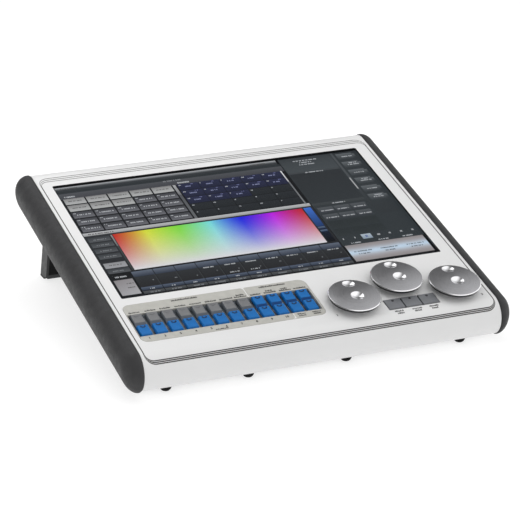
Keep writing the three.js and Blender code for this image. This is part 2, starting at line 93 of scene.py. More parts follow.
ROCKER_OFFSET = 14.5                         # to the right of the inlet's middle
SOCKET_LINE = -29.4                          # height of the sockets' middles


def in_panel(point):
    """A world point, in metres, as a point of the panel frame, in millimetres."""
    return (PANEL.inverted() @ point) / MM


def node_middle(node):
    low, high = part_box(node)
    return in_panel((low + high) / 2)


# ---- Outlines and meshes ------------------------------------------------------------------------

def arc(cx, cy, radius, start, end, steps):
    turns = [start + (end - start) * i / steps for i in range(steps + 1)]
    return [(cx + radius * math.cos(a), cy + radius * math.sin(a)) for a in turns]


def rectangle(x0, x1, y0, y1, corner=0.0, steps=8):
    if corner <= 0:
        return [(x0, y0), (x1, y0), (x1, y1), (x0, y1)]
    centres = [(x1 - corner, y0 + corner), (x1 - corner, y1 - corner),
               (x0 + corner, y1 - corner), (x0 + corner, y0 + corner)]
    points = []
    for i, (cx, cy) in enumerate(centres):
        points += arc(cx, cy, corner, (i - 1) * QUARTER, i * QUARTER, steps)
    return points


def as_drawn(bm):
    mesh = bpy.data.meshes.new("shape")
    bm.to_mesh(mesh)
    bm.free()
    return mesh


def to_mesh(bm):
    """The shape with its points welded and its faces turned outwards."""
    bmesh.ops.remove_doubles(bm, verts=bm.verts, dist=1e-5)
    bmesh.ops.recalc_face_normals(bm, faces=bm.faces)
    return as_drawn(bm)


def prism(outline, low, high, axis="Z"):
    """An outline drawn out along an axis. For X it lies in Y-Z and for Z in X-Y."""
    bm = bmesh.new()
    ends = [[bm.verts.new((w, u, v) if axis == "X" else (u, v, w)) for u, v in outline]
            for w in (low, high)]
    count = len(outline)
    for i in range(count):
        j = (i + 1) % count
        bm.faces.new((ends[0][i], ends[0][j], ends[1][j], ends[1][i]))
    bm.faces.new(ends[0])
    bm.faces.new(ends[1])
    return to_mesh(bm)


def box(x, y, z):
    return prism(rectangle(x[0], x[1], y[0], y[1]), z[0], z[1])


def lofted(rings, closed_ends=True):
    """A skin over rings of points that all have the same count."""
    bm = bmesh.new()
    rows = [[bm.verts.new(p) for p in ring] for ring in rings]
    for lower, upper in zip(rows, rows[1:]):
        for i in range(len(lower)):
            j = (i + 1) % len(lower)
            bm.faces.new((lower[i], lower[j], upper[j], upper[i]))
    if closed_ends:
        bm.faces.new(rows[0])
        bm.faces.new(rows[-1])
    return to_mesh(bm)


def turned(profile, steps):
    """A solid of revolution about Z; the profile lists (radius, height) and starts on the axis."""
    bm = bmesh.new()
    rings = []
    for radius, height in profile:
        if radius < 1e-6:
            rings.append([bm.verts.new((0, 0, height))])
            continue
        angles = [2 * math.pi * i / steps for i in range(steps)]
        rings.append([bm.verts.new((radius * math.cos(a), radius * math.sin(a), height)) for a in angles])
    for lower, upper in zip(rings, rings[1:]):
        for i in range(steps):
            j = (i + 1) % steps
            corners = [lower[i % len(lower)], lower[j % len(lower)]]
            corners += [upper[j % len(upper)], upper[i % len(upper)]]
            unique = list(dict.fromkeys(corners))
            if len(unique) > 2:
                bm.faces.new(unique)
    return to_mesh(bm)


def moved(mesh, x=0.0, y=0.0, z=0.0):
    mesh.transform(Matrix.Translation((x, y, z)))
    return mesh


def spun(mesh, angle, axis):
    mesh.transform(Matrix.Rotation(angle, 4, axis))
    return mesh


def merged(meshes):
    bm = bmesh.new()
    for mesh in meshes:
        bm.from_mesh(mesh)
    return as_drawn(bm)


def linked(name, data):
    """A new object in the scene."""
    item = bpy.data.objects.new(name, data)
    bpy.context.scene.collection.objects.link(item)
    return item


def evaluated(data, set_up):
    """The mesh after the modifiers that set_up adds to a passing object. Where they use other objects,
    set_up returns those."""
    temp = linked("temp", data)
    helpers = set_up(temp) or []
    bpy.context.view_layer.update()
    graph = bpy.context.evaluated_depsgraph_get()
    result = bpy.data.meshes.new_from_object(temp.evaluated_get(graph), depsgraph=graph)
    for thing in [temp, *helpers]:
        bpy.data.objects.remove(thing)
    return result


def cut(mesh, tools):
    """Cuts the tools out of the mesh, one after another."""
    for tool in tools:
        def set_up(temp, tool=tool):
            helper = linked("tool", tool)
            modifier = temp.modifiers.new("boolean", "BOOLEAN")
            modifier.object = helper
            modifier.operation = "DIFFERENCE"
            modifier.solver = "EXACT"
            return [helper]
        mesh = evaluated(mesh, set_up)
    return mesh


def add_bevel(piece, width, segments=2, angle=35):
    bevel = piece.modifiers.new("bevel", "BEVEL")
    bevel.width = width
    bevel.segments = segments
    bevel.limit_method = "ANGLE"
    bevel.angle_limit = math.radians(angle)


def softened(mesh, width, segments=2, angle=35):
    return evaluated(mesh, lambda temp: add_bevel(temp, width, segments, angle))


def show(name, mesh, body, materials, slot, at=(0, 0, 0), replaces=(), smooth=40):
    """Places a mesh drawn in millimetres about a point of the panel, and lets it ride on a body. Its
    points keep where they were drawn, for the materials that need it."""
    local = mesh.attributes.new("local", "FLOAT_VECTOR", "POINT")
    local.data.foreach_set("vector", [c for v in mesh.vertices for c in v.co])
    mesh.transform(PANEL @ Matrix.Scale(MM, 4) @ Matrix.Translation(at))
    mesh.materials.clear()
    for material in materials if isinstance(materials, (list, tuple)) else [materials]:
        mesh.materials.append(material)
    mesh.shade_smooth()
    mesh.set_sharp_from_angle(angle=math.radians(smooth))
    mesh.name = name
    piece = linked(name, mesh)
    weighted = piece.modifiers.new("normals", "WEIGHTED_NORMAL")
    weighted.keep_sharp = True
    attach(piece, body)
    if replaces:
        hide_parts(*replaces)
    return piece


# ---- Materials ----------------------------------------------------------------------------------

def srgb(red, green, blue):
    """A colour given as 0 to 255 screen values, as linear light."""
    def linear(value):
        value /= 255
        return value / 12.92 if value <= 0.04045 else ((value + 0.055) / 1.055) ** 2.4
    return (linear(red), linear(green), linear(blue), 1.0)


def put(node, **values):
    """Sets inputs of a node. An underscore in a name stands for a space."""
    for name, value in values.items():
        node.inputs[name.replace("_", " ")].default_value = value


class Finish:
    """A node material with a Principled surface and helpers for noise, ramps and bump."""

    def __init__(self, name, colour, roughness, metallic=0.0, local=False):
        self.material = bpy.data.materials.new(name)
        self.material.use_nodes = True
        self.tree = self.material.node_tree
        self.surface = self.tree.nodes["Principled BSDF"]
        put(self.surface, Base_Color=colour, Roughness=roughness, Metallic=metallic)
        self.colour = colour
        self.place = self.local_place() if local else self.desk_place()

    def node(self, kind, **values):
        node = self.tree.nodes.new(kind)
        for key, value in values.items():
            setattr(node, key, value)
        return node

    def link(self, start, end):
        self.tree.links.new(start, end)

    def feed(self, value, name):
        """Links a value to an input of the surface."""
        self.link(value, self.surface.inputs[name])

    def desk_place(self):
        """Rest position on the desk, in millimetres."""
        source = self.node("ShaderNodeTexCoord")
        scale = self.node("ShaderNodeVectorMath", operation="SCALE")
        put(scale, Scale=1 / MM)
        self.link(source.outputs["Object"], scale.inputs[0])
        return scale.outputs["Vector"]

    def local_place(self):
        """Position in the piece's own frame, in millimetres, as stored on its points."""
        return self.node("ShaderNodeAttribute", attribute_name="local").outputs["Vector"]

    def stretched(self, scales):
        mapping = self.node("ShaderNodeMapping")
        put(mapping, Scale=scales)
        self.link(self.place, mapping.inputs["Vector"])
        return mapping.outputs["Vector"]

    def noise(self, size, detail=3.0, place=None):
        """Noise whose features are about size millimetres wide."""
        noise = self.node("ShaderNodeTexNoise")
        put(noise, Scale=1 / size, Detail=detail, Roughness=0.55)
        self.link(place or self.place, noise.inputs["Vector"])
        return noise.outputs["Fac"]

    def cells(self, size):
        cells = self.node("ShaderNodeTexVoronoi")
        put(cells, Scale=1 / size)
        self.link(self.place, cells.inputs["Vector"])
        return cells.outputs["Distance"]

    def ramp(self, value, low, high, start=0.3, end=0.7):
        """Maps a value between start and end onto low to high."""
        node = self.node("ShaderNodeMapRange")
        put(node, From_Min=start, From_Max=end, To_Min=low, To_Max=high)
        self.link(value, node.inputs["Value"])
        return node.outputs["Result"]

    def mix(self, factor, first, second):
        node = self.node("ShaderNodeMix", data_type="RGBA")
        self.link(factor, node.inputs["Factor"])
        for socket, value in (("A", first), ("B", second)):
            target = next(s for s in node.inputs if s.name == socket and s.type == "RGBA")
            if isinstance(value, tuple):
                target.default_value = value
            else:
                self.link(value, target)
        return next(s for s in node.outputs if s.type == "RGBA")

    def tint(self, size, amount):
        """Lets the colour drift a little lighter and darker over patches of this size."""
        dark = tuple(c * (1 - amount) for c in self.colour[:3]) + (1.0,)
        light = tuple(min(1.0, c * (1 + amount)) for c in self.colour[:3]) + (1.0,)
        drift = self.ramp(self.noise(size), 0.0, 1.0)
        self.feed(self.mix(drift, dark, light), "Base Color")

    def rough(self, size, low, high):
        self.feed(self.ramp(self.noise(size), low, high), "Roughness")

    def bump(self, height, depth, previous=None):
        """Raises the surface by height times depth, in millimetres."""
        node = self.node("ShaderNodeBump")
        put(node, Strength=1.0, Distance=depth * MM)
        self.link(height, node.inputs["Height"])
        if previous:
            self.link(previous, node.inputs["Normal"])
        self.feed(node.outputs["Normal"], "Normal")
        return node.outputs["Normal"]

    def worn_edges(self, amount, lighter):
        """Edges rubbed a little lighter, found from how sharply the surface turns."""
        point = self.node("ShaderNodeNewGeometry").outputs["Pointiness"]
        edge = self.ramp(point, 0.0, amount, start=0.52, end=0.62)
        current = self.surface.inputs["Base Color"]
        base = current.links[0].from_socket if current.links else self.colour
        self.link(self.mix(edge, base, lighter), current)


def white_paint():
    finish = Finish("white_paint", srgb(215, 215, 215), 0.42)
    finish.tint(60, 0.012)
    finish.rough(9, 0.36, 0.5)
    fine = finish.bump(finish.noise(0.9, 2.0), 0.035)
    finish.bump(finish.noise(14, 1.0), 0.05, fine)
    put(finish.surface, Coat_Weight=0.12, Coat_Roughness=0.3)
    return finish.material


def powder_coat(name, colour, roughness=0.55):
    finish = Finish(name, colour, roughness)
    finish.tint(25, 0.08)
    finish.rough(4, roughness - 0.07, roughness + 0.08)
    finish.bump(finish.noise(0.7, 2.0), 0.07)
    finish.worn_edges(0.25, tuple(min(1.0, c * 2.2 + 0.02) for c in colour[:3]) + (1.0,))
    return finish.material


def cheek_skin():
    finish = Finish("cheek_skin", srgb(51, 51, 52), 0.6)
    finish.tint(18, 0.1)
    finish.rough(6, 0.5, 0.66)
    put(finish.surface, Specular_IOR_Level=0.25)
    grain = finish.bump(finish.cells(0.55), 0.09)
    finish.bump(finish.noise(2.2, 4.0), 0.05, grain)
    return finish.material


def moulded(name, colour, roughness, grain=0.3, depth=0.012, shine=0.5):
    finish = Finish(name, colour, roughness, local=True)
    put(finish.surface, Specular_IOR_Level=shine)
    finish.tint(7, 0.06)
    finish.rough(2.5, roughness - 0.06, roughness + 0.1)
    finish.bump(finish.noise(grain, 2.0), depth)
    return finish.material


def rubber():
    finish = Finish("rubber", srgb(13, 13, 14), 0.8)
    put(finish.surface, Specular_IOR_Level=0.2)
    finish.tint(5, 0.2)
    finish.rough(1.5, 0.7, 0.9)
    finish.bump(finish.noise(0.4, 3.0), 0.04)
    return finish.material


def satin_metal():
    """Bead-blasted and then turned aluminium, with rings round the wheel's own axis."""
    finish = Finish("wheel_metal", srgb(182, 182, 185), 0.3, metallic=1.0, local=True)
    finish.tint(12, 0.05)
    split = finish.node("ShaderNodeSeparateXYZ")
    finish.link(finish.place, split.inputs[0])
    radius = finish.node("ShaderNodeVectorMath", operation="LENGTH")
    flat = finish.node("ShaderNodeCombineXYZ")
    finish.link(split.outputs["X"], flat.inputs["X"])
    finish.link(split.outputs["Y"], flat.inputs["Y"])
    finish.link(flat.outputs["Vector"], radius.inputs[0])
    ring_place = finish.node("ShaderNodeCombineXYZ")
    finish.link(radius.outputs["Value"], ring_place.inputs["X"])
    rings = finish.noise(0.22, 2.0, place=ring_place.outputs["Vector"])
    finish.feed(finish.ramp(rings, 0.25, 0.34), "Roughness")
    blast = finish.bump(finish.noise(0.25, 2.0), 0.006)
    finish.bump(rings, 0.006, blast)
    put(finish.surface, Anisotropic=0.35)
    tangent = finish.node("ShaderNodeTangent", direction_type="RADIAL", axis="Z")
    finish.feed(tangent.outputs["Tangent"], "Tangent")
    return finish.material


def polished_metal():
    finish = Finish("polished_metal", srgb(243, 243, 245), 0.19, metallic=1.0, local=True)
    finish.rough(1.2, 0.16, 0.24)
    finish.bump(finish.noise(0.35, 1.0), 0.002)
    return finish.material


def plated_metal(name, colour, roughness=0.3):
    finish = Finish(name, colour, roughness, metallic=1.0)
    finish.tint(6, 0.08)
    brushed = finish.noise(0.5, 3.0, place=finish.stretched((0.12, 1, 1)))
    finish.feed(finish.ramp(brushed, roughness - 0.08, roughness + 0.1), "Roughness")
    finish.bump(brushed, 0.01)
    return finish.material


def ink(name, colour):
    finish = Finish(name, colour, 0.5)
    finish.tint(1.5, 0.12)
    finish.rough(1.0, 0.42, 0.6)
    return finish.material


def circuit_board():
    finish = Finish("circuit_board", srgb(26, 70, 42), 0.4)
    finish.tint(8, 0.2)
    tracks = finish.noise(2.0, 2.0, place=finish.stretched((0.2, 1, 1)))
    finish.bump(finish.ramp(tracks, 0, 1, 0.48, 0.52), 0.04)
    finish.rough(3, 0.3, 0.5)
    return finish.material


GLASS_MIRROR = 0.1           # share of a full mirror that the glass keeps, as an anti-glare coat does


def clear_glass():
    """A thin clear sheet: it lets the display through and mirrors the room at glancing angles."""
    finish = Finish("touch_glass", srgb(235, 240, 240), 0.06)
    clear = finish.node("ShaderNodeBsdfTransparent")
    put(clear, Color=srgb(245, 246, 247))
    fresnel = finish.node("ShaderNodeFresnel")
    put(fresnel, IOR=1.45)
    smudge = finish.ramp(finish.noise(35, 4.0), 0.04, 0.13)
    finish.feed(smudge, "Roughness")
    put(finish.surface, Metallic=1.0)
    inside = finish.node("ShaderNodeNewGeometry").outputs["Backfacing"]
    outside = finish.ramp(inside, GLASS_MIRROR, 0.0, start=0.0, end=1.0)
    share = finish.node("ShaderNodeMath", operation="MULTIPLY")
    finish.link(fresnel.outputs["Fac"], share.inputs[0])
    finish.link(outside, share.inputs[1])
    blend = finish.node("ShaderNodeMixShader")
    output = finish.tree.nodes["Material Output"]
    finish.link(share.outputs["Value"], blend.inputs["Fac"])
    finish.link(clear.outputs["BSDF"], blend.inputs[1])
    finish.link(finish.surface.outputs["BSDF"], blend.inputs[2])
    finish.link(blend.outputs["Shader"], output.inputs["Surface"])
    return finish.material


def lit_image():
    """The display's own light, from the colours stored on the drawn interface."""
    finish = Finish("lit_image", srgb(20, 20, 22), 0.5, local=True)
    tint = finish.node("ShaderNodeAttribute", attribute_name="tint").outputs["Color"]
    grain = finish.node("ShaderNodeTexNoise")
    put(grain, Scale=0.35)
    finish.link(finish.place, grain.inputs["Vector"])
    glow = finish.ramp(grain.outputs["Fac"], 0.98, 1.02)
    put(finish.surface, Specular_IOR_Level=0.1)
    finish.feed(tint, "Emission Color")
    finish.feed(glow, "Emission Strength")
    dim = finish.node("ShaderNodeMix", data_type="RGBA", blend_type="MULTIPLY")
    put(dim, Factor=1.0)
    first, second = [s for s in dim.inputs if s.type == "RGBA"]
    finish.link(tint, first)
    second.default_value = (0.06, 0.06, 0.06, 1)
    finish.feed(next(s for s in dim.outputs if s.type == "RGBA"), "Base Color")
    return finish.material


WHITE = white_paint()
BLACK = powder_coat("black_paint", srgb(34, 35, 37))
GREY = powder_coat("grey_paint", srgb(24, 25, 27), 0.5)
CHEEK = cheek_skin()
# Black rubber of the feet and the leg's pad, also used as painted shade on the leg's front plate.
RUBBER_AND_PAINTED_SHADE = rubber()
# Much lighter than the dark slate plastic itself: painted light that lifts the shade in the key and button
# wells.
WELL_PLASTIC_PAINTED_LIGHT = moulded("well_plastic", srgb(146, 153, 160), 0.55, 0.5, 0.03)
BLUE_KEY = moulded("blue_key", srgb(8, 97, 165), 0.45, shine=0.25)
GREY_KEY = moulded("grey_key", srgb(106, 107, 109), 0.45)
# Darker copies of the key plastics for the rear row's fronts and the grey keys' sides: painted shade.
BLUE_KEY_PAINTED_SHADE = moulded("blue_key_front_painted_shade", srgb(6, 62, 118), 0.5, shine=0.2)
GREY_KEY_PAINTED_SHADE = moulded("grey_key_sides_painted_shade", srgb(90, 95, 101), 0.5, shine=0.2)
SLATE = moulded("slate_button", srgb(110, 112, 116), 0.45)
LEGEND_SKIN = moulded("legend_plate", srgb(172, 171, 165), 0.5, 0.4, 0.02)
WHEEL_METAL = satin_metal()
POLISHED = polished_metal()
WHEEL_SKIRT = moulded("wheel_skirt", srgb(26, 26, 28), 0.5)
NICKEL = plated_metal("socket_metal", srgb(160, 161, 163))
ALUMINIUM = plated_metal("bare_aluminium", srgb(165, 167, 170), 0.35)
STEEL = plated_metal("screw_steel", srgb(96, 97, 100), 0.35)
GOLD = plated_metal("contact_gold", srgb(212, 170, 92), 0.25)
SOCKET_PLASTIC = moulded("socket_plastic", srgb(30, 30, 32), 0.5)
ROCKER_PLASTIC = moulded("rocker_plastic", srgb(22, 22, 23), 0.3)
# Black of the display panel's own edge, also used as painted shade on the cover's cut wall at the opening.
SCREEN_EDGE_AND_SHADE = moulded("screen_edge_and_shade", srgb(14, 14, 16), 0.35)
STRIPE = ink("stripe_ink", srgb(44, 43, 40))
LEGEND_INK = ink("legend_ink", srgb(34, 33, 32))
PALE_INK = ink("pale_ink", srgb(220, 221, 222))
NAVY_INK = ink("navy_ink", srgb(3, 20, 52))
BOARD = circuit_board()
GLASS = clear_glass()
LIT = lit_image()


def paint_nodes():
    """Materials of the CAD nodes that stay as they are."""
    finishes = {
        "base_pan": BLACK, "rear_panel": BLACK, "touch_glass": GLASS, "display_panel": SCREEN_EDGE_AND_SHADE,
        "display_frame": ALUMINIUM, "key_bezel": WELL_PLASTIC_PAINTED_LIGHT, "button_bezel": WELL_PLASTIC_PAINTED_LIGHT,
        "control_board": BOARD, "main_board": BOARD, "power_supply": ALUMINIUM, "leg": GREY,
        "leg_pad": RUBBER_AND_PAINTED_SHADE, "leg_lug_left": BLACK, "leg_lug_right": BLACK, "power_inlet": SOCKET_PLASTIC,
        "power_rocker": ROCKER_PLASTIC, "network_socket": NICKEL, "dmx_socket_1": NICKEL,
        "dmx_socket_2": NICKEL, "encoder_left": NICKEL, "encoder_middle": NICKEL, "encoder_right": NICKEL,
    }
    bevels = {"base_pan": 0.3, "leg": 0.6, "leg_lug_left": 0.5, "leg_lug_right": 0.5, "power_inlet": 0.4,
              "power_rocker": 0.4, "network_socket": 0.3, "dmx_socket_1": 0.4, "dmx_socket_2": 0.4,
              "rear_panel": 0.2, "leg_pad": 0.3}
    for name, finish in finishes.items():
        node = frame["nodes"][name]
        node.data.materials.clear()
        node.data.materials.append(finish)
        if name in bevels:
            add_bevel(node, bevels[name] * MM)


def slot_of(node):
    return next(s["material_slot"] for s in frame["record"]["subparts"] if s["node"] == node)


# ---- Shell --------------------------------------------------------------------------------------

def cover():
    """One sheet bent round both noses. Its cut edge at the display is painted black, as painted shade
    inside the opening.
    """
    outer, inner = [arc(NOSE_FRONT_Y, -NOSE, radius, 3 * QUARTER, QUARTER, 64)
                    + arc(NOSE_REAR_Y, -NOSE, radius, QUARTER, HOOD_END, 22)
                    for radius in (NOSE, NOSE - WALL)]
    mesh = prism(outer + inner[::-1], *COVER, "X")
    through = (-WALL - 1, 1)
    half = OPENING[0] / 2
    gap = 0.3
    tools = [
        prism(rectangle(-half, half, 0, OPENING[1], 2), *through),
        prism(rectangle(LEGEND[0] - gap, LEGEND[1] + gap, LEGEND[2] - gap, LEGEND[3] + gap, 8 + gap),
              *through),
        prism(rectangle(*BUTTON_WELL, 0.8, 4), *through),
    ]
    for x, y in WHEELS.values():
        tools.append(moved(prism(arc(0, 0, 4.9, 0, 2 * math.pi * 31 / 32, 31), *through), x, y))
    mesh = softened(cut(mesh, tools), 0.45, 3)
    # The cut wall faces round the display opening take the black second material: painted shade.
    numbers = []
    for face in mesh.polygons:
        at_display = abs(face.center.x) < half + 0.1 and -0.1 < face.center.y < OPENING[1] + 0.1
        numbers.append(1 if at_display and face.center.z < -0.2 and abs(face.normal.z) < 0.9 else 0)
    mesh.polygons.foreach_set("material_index", numbers)
    show_marked("cover_skin", mesh, "desk", [WHITE, SCREEN_EDGE_AND_SHADE], replaces=["top_cover"],
                slot="white_paint", smooth=30)


def cheek(side):
    """A padded end block. Its outline is a stadium that closes in towards the outer face, along a
    short round above and a long sweep below."""
    crown, belly, flat = 18, 28, 2           # the round above, the sweep below, the straight part
    above, below = 1, -2 * NOSE - 1
    power = 1.8                              # of the sweep's curve: 2 would be a quarter of an ellipse
    inner = COVER[0] - 0.3 if side < 0 else COVER[1] + 0.3
    stations = [(0, 1.4), (0.4, 0.6), (1.1, 0.1)]
    outlines = [(depth, above - sunk, below + sunk) for depth, sunk in stations]
    steps = 26
    for i in range(steps + 1):
        turn = i / steps * math.radians(88.5)
        depth = flat + (CHEEK_WIDTHS[side] - flat) * math.sin(turn)
        rise = 1 - (1 - math.sin(turn) ** power) ** (1 / power)
        outlines.append((depth, above - crown * (1 - math.cos(turn)), below + belly * rise))
    rings = []
    for depth, top, bottom in outlines:
        x, middle, radius = inner + side * depth, (top + bottom) / 2, (top - bottom) / 2
        lengths = [NOSE_REAR_Y + (NOSE_FRONT_Y - NOSE_REAR_Y) * i / 12 for i in range(1, 12)]
        outline = arc(NOSE_REAR_Y, middle, radius, -QUARTER, QUARTER, 40)
        outline += [(y, top) for y in lengths]
        outline += arc(NOSE_FRONT_Y, middle, radius, QUARTER, 3 * QUARTER, 40)
        outline += [(y, bottom) for y in reversed(lengths)]
        rings.append([(x, y, z) for y, z in outline])
    name = "left_cheek" if side < 0 else "right_cheek"
    show(name + "_skin", lofted(rings), "desk", CHEEK, replaces=[name], slot="cheek_skin", smooth=60)


# ---- Pinstripes, drawn on the cover unrolled flat -----------------------------------------------

STRIPE_HEIGHT = 0.06
STRIPE_WIDTHS = (1.22, 0.85, 0.34)           # at the front, at the rear and along the sides


def on_cover(x, s, height):
    """A point of the unrolled cover: s runs from the front nose over the top to the rear nose."""
    middle = min(max(s, NOSE_FRONT_Y), NOSE_REAR_Y)
    turn, reach = (s - middle) / NOSE, NOSE + height
    return (x, middle + reach * math.sin(turn), reach * math.cos(turn) - NOSE)


def ribbon(path):
    """A thin raised closed line on the unrolled cover."""
    front, rear, along = STRIPE_WIDTHS
    rings = []
    count = len(path)
    for i, (x, s) in enumerate(path):
        before, after = path[(i - 1) % count], path[(i + 1) % count]
        heading = Vector((after[0] - before[0], after[1] - before[1])).normalized()
        width = along + ((front if s < 0 else rear) - along) * heading.x ** 2
        side = Vector((-heading.y, heading.x)) * (width / 2)
        corners = [(side, -0.02), (side, STRIPE_HEIGHT), (-side, STRIPE_HEIGHT), (-side, -0.02)]
        rings.append([on_cover(x + o.x, s + o.y, h) for o, h in corners])
    return lofted([*rings, rings[0]], closed_ends=False)


def loop_path(left, right, front, rear, corner):
    """A rounded rectangle on the unrolled cover, with points close enough to follow the noses."""
    outline = rectangle(left, right, front, rear, corner, 10)
    path = []
    for a, b in zip(outline, outline[1:] + outline[:1]):
        pieces = max(1, int(math.dist(a, b) // 2))
        path += [tuple(p + (q - p) * i / pieces for p, q in zip(a, b)) for i in range(pieces)]
    return path


def pinstripes():
    """Three fine loops, apart at the front and the rear. At the sides they run together."""
    lines = []
    for i in range(3):
        inset = 3.6 + 0.36 * i
        front, rear = -108.35 + 1.8 * i, 239.4 - 3.3 * i
        lines.append(ribbon(loop_path(COVER[0] + inset, COVER[1] - inset, front, rear, 11 - i)))
    show("pinstripes", merged(lines), "desk", STRIPE, slot="white_paint", smooth=30)


# ---- Printed marks ------------------------------------------------------------------------------

DIGIT_THICK, STROKE_THICK = 0.03, 0.05


def digit(text, size, x, y, z):
    """A number, as a thin raised mark centred on a point of the panel."""
    curve = bpy.data.curves.new("digit", "FONT")
    curve.body = text
    curve.size = size
    curve.extrude = DIGIT_THICK
    curve.offset = size * 0.035
    curve.align_x = "CENTER"
    curve.align_y = "CENTER"
    curve.resolution_u = 3
    bm = bmesh.new()
    bm.from_mesh(evaluated(curve, lambda temp: None))
    return moved(to_mesh(bm), x, y, z + DIGIT_THICK)


def strokes(rng, x, y, z, width, height):
    """A line of small upright strokes that stands for a word."""
    marks = []
    left = x - width / 2
    while left < x + width / 2 - 0.3:
        stroke = rng.uniform(0.8, 1.2)
        foot, tall = y - height / 2, height * rng.choice((0.75, 0.75, 1.0))
        marks.append(box((left, left + stroke), (foot, foot + tall), (z, z + STROKE_THICK)))
        left += stroke + rng.choice((0.25, 0.25, 0.5))
    return marks


def column_x(column):
    return (WELL[0] + WELL[1]) / 2 + (column - 5.5) * KEY_PITCH[0]


def legend_marks():
    rng = random.Random(7)
    z = LEGEND_TOP
    marks = []
    for column in range(12):
        double = column in (7, 9, 10)
        for line in range(2 if double else 1):
            width = rng.uniform(11, 14) if line == 0 else 8
            marks += strokes(rng, column_x(column), WELL[3] + 3.0 + 3.1 * line, z, width, 2.4)
    marks += strokes(rng, column_x(3.5), LEGEND[3] - 3.6, z, 29, 2.6)
    marks += strokes(rng, column_x(9.4), LEGEND[3] - 3.4, z, 30, 2.6)
    for column in range(10):
        marks.append(digit(str(column + 1), 4.2, column_x(column), WELL[2] - 4.4, z))
    marks += strokes(rng, column_x(4.6), LEGEND[2] + 2.4, z, 13, 1.9)
    for column in (10, 11):
        for line in range(2):
            marks += strokes(rng, column_x(column), WELL[2] - 3.1 - 3.0 * line, z, rng.uniform(7, 9), 2.0)
    show("legend_marks", merged(marks), "desk", LEGEND_INK, slot="legend_plate")

    # Pale gaps part the printed groups: behind between columns 8 and 9, in front between 10 and 11.
    rear_gap = printed_gap(column_x(7.5), WELL[3] + 0.4, LEGEND[3])
    front_gap = printed_gap(column_x(9.5), WELL[2] - 0.4, LEGEND[2])
    gaps = merged([prism(outline, z, z + 0.04) for outline in (rear_gap, front_gap)])
    show("legend_gaps", gaps, "desk", WHITE, slot="white_paint")


def printed_gap(x, inner_y, outer_y):
    """A fine line that opens out between the rounded corners of two printed fields."""
    half, wide, tight = 0.4, 4.0, 1.6
    way = 1 if outer_y > inner_y else -1
    left, right = [[(x + side * (half + radius - radius * math.cos(i / 8 * QUARTER)),
                     outer_y - way * (radius - radius * math.sin(i / 8 * QUARTER))) for i in range(9)]
                   for side, radius in ((-1, wide), (1, tight))]
    return [(x - half, inner_y), *left, *reversed(right), (x + half, inner_y)]


def panel_marks():
    """Numbers beside the outer wheels and short words under the buttons."""
    rng = random.Random(11)
    marks = [digit("1", 4.4, 22.6, -82.4, 0), digit("3", 4.4, 191.3, -85, 0)]
    for i in range(3):
        x = BUTTON_WELL[0] + (i + 0.5) * (BUTTON_WELL[1] - BUTTON_WELL[0]) / 3
        for line in range(2):
            flat = strokes(rng, x, BUTTON_WELL[2] - 3.2 - 3.4 * line, 0, 10.5 - 3 * line, 2.5)
            marks += [bent_onto_cover(mark) for mark in flat]
    show("panel_marks", merged(marks), "desk", LEGEND_INK, slot="white_paint")


def bent_onto_cover(mesh):
    for vertex in mesh.vertices:
        vertex.co = on_cover(*vertex.co)
    return mesh


# ---- Keys and buttons ---------------------------------------------------------------------------

def cap_shape(width, depth, dish, front_slope, inset=0.75):
    """A sculpted cap: sloping front, shallow dish from front to rear, sides leaning in."""
    half = depth / 2
    crown_front, crown_rear = -half + front_slope, half - 0.7
    profile = [(-half, CAP_SKIRT), (-half + 0.6, CAP_SKIRT + 0.9), (crown_front, CAP_TOP - 0.5)]
    steps = 8
    for i in range(1, steps):
        t = i / steps
        sag = dish * 4 * t * (1 - t)
        profile.append((crown_front + (crown_rear - crown_front) * t, CAP_TOP - 0.5 * (1 - t) - sag))
    profile += [(crown_rear, CAP_TOP), (half, CAP_SKIRT)]
    across = 8
    rings = []
    for i in range(across + 1):
        u = 2 * i / across - 1
        ring = []
        for y, z in profile:
            lean = inset * (z - CAP_SKIRT) / (CAP_TOP - CAP_SKIRT)
            ring.append((u * (width / 2 - lean), y, z))
        rings.append(ring)
    return lofted(rings)


def with_mark(cap, mark):
    """Joins a printed mark to a cap: the cap keeps the first material and the mark takes the second."""
    bm = bmesh.new()
    bm.from_mesh(cap)
    first = len(bm.faces)
    bm.from_mesh(mark)
    bm.faces.ensure_lookup_table()
    for face in bm.faces[first:]:
        face.material_index = 1
    return as_drawn(bm)


def show_marked(name, mesh, body, materials, **options):
    """As show, but the faces keep the material numbers that they have."""
    numbers = [p.material_index for p in mesh.polygons]
    piece = show(name, mesh, body, materials, **options)
    piece.data.polygons.foreach_set("material_index", numbers)
    return piece


def on_stem(cap):
    """A cap joined to the stem that reaches down to its switch."""
    return merged([cap, box((-2.5, 2.5), (-2.5, 2.5), (-10.6, -3.0))])


def key_mark():
    """Two short bars and a third that joins them in front, near a key's rear edge."""
    return merged([box((-2.7, -1.4), (5.2, 7.4), (0.2, 0.93)), box((1.4, 2.7), (5.2, 7.4), (0.2, 0.93)),
                   box((-1.6, 1.6), (4.4, 5.6), (0.1, 0.83))])


def keys():
    """Two rows of twelve. The fronts of the rear row and the sides of the grey keys are darker: painted
    shade.
    """
    for row in range(2):
        for column in range(12):
            number = row * 12 + column + 1
            name = f"key_{number:02d}"
            grey = number <= 8
            at = (column_x(column), (WELL[2] + WELL[3]) / 2 + (0.5 - row) * KEY_PITCH[1], 0)
            cap = softened(cap_shape(*KEY_CAP, 0.4, KEY_SLOPES[row]), 0.4, 3)
            materials = [GREY_KEY, GREY_KEY, GREY_KEY_PAINTED_SHADE] if grey else [BLUE_KEY, NAVY_INK, BLUE_KEY_PAINTED_SHADE]
            marked = with_mark(on_stem(cap), key_mark())
            # Rear-row fronts and steep grey-key sides take the third, darker material: painted shade.
            for face in marked.polygons:
                front = row == 0 and face.normal.y < -0.5
                if face.material_index == 0 and (front or (grey and abs(face.normal.x) > 0.6)):
                    face.material_index = 2
            show_marked(name + "_cap", marked, name, materials, at=at, replaces=[name], slot=slot_of(name))


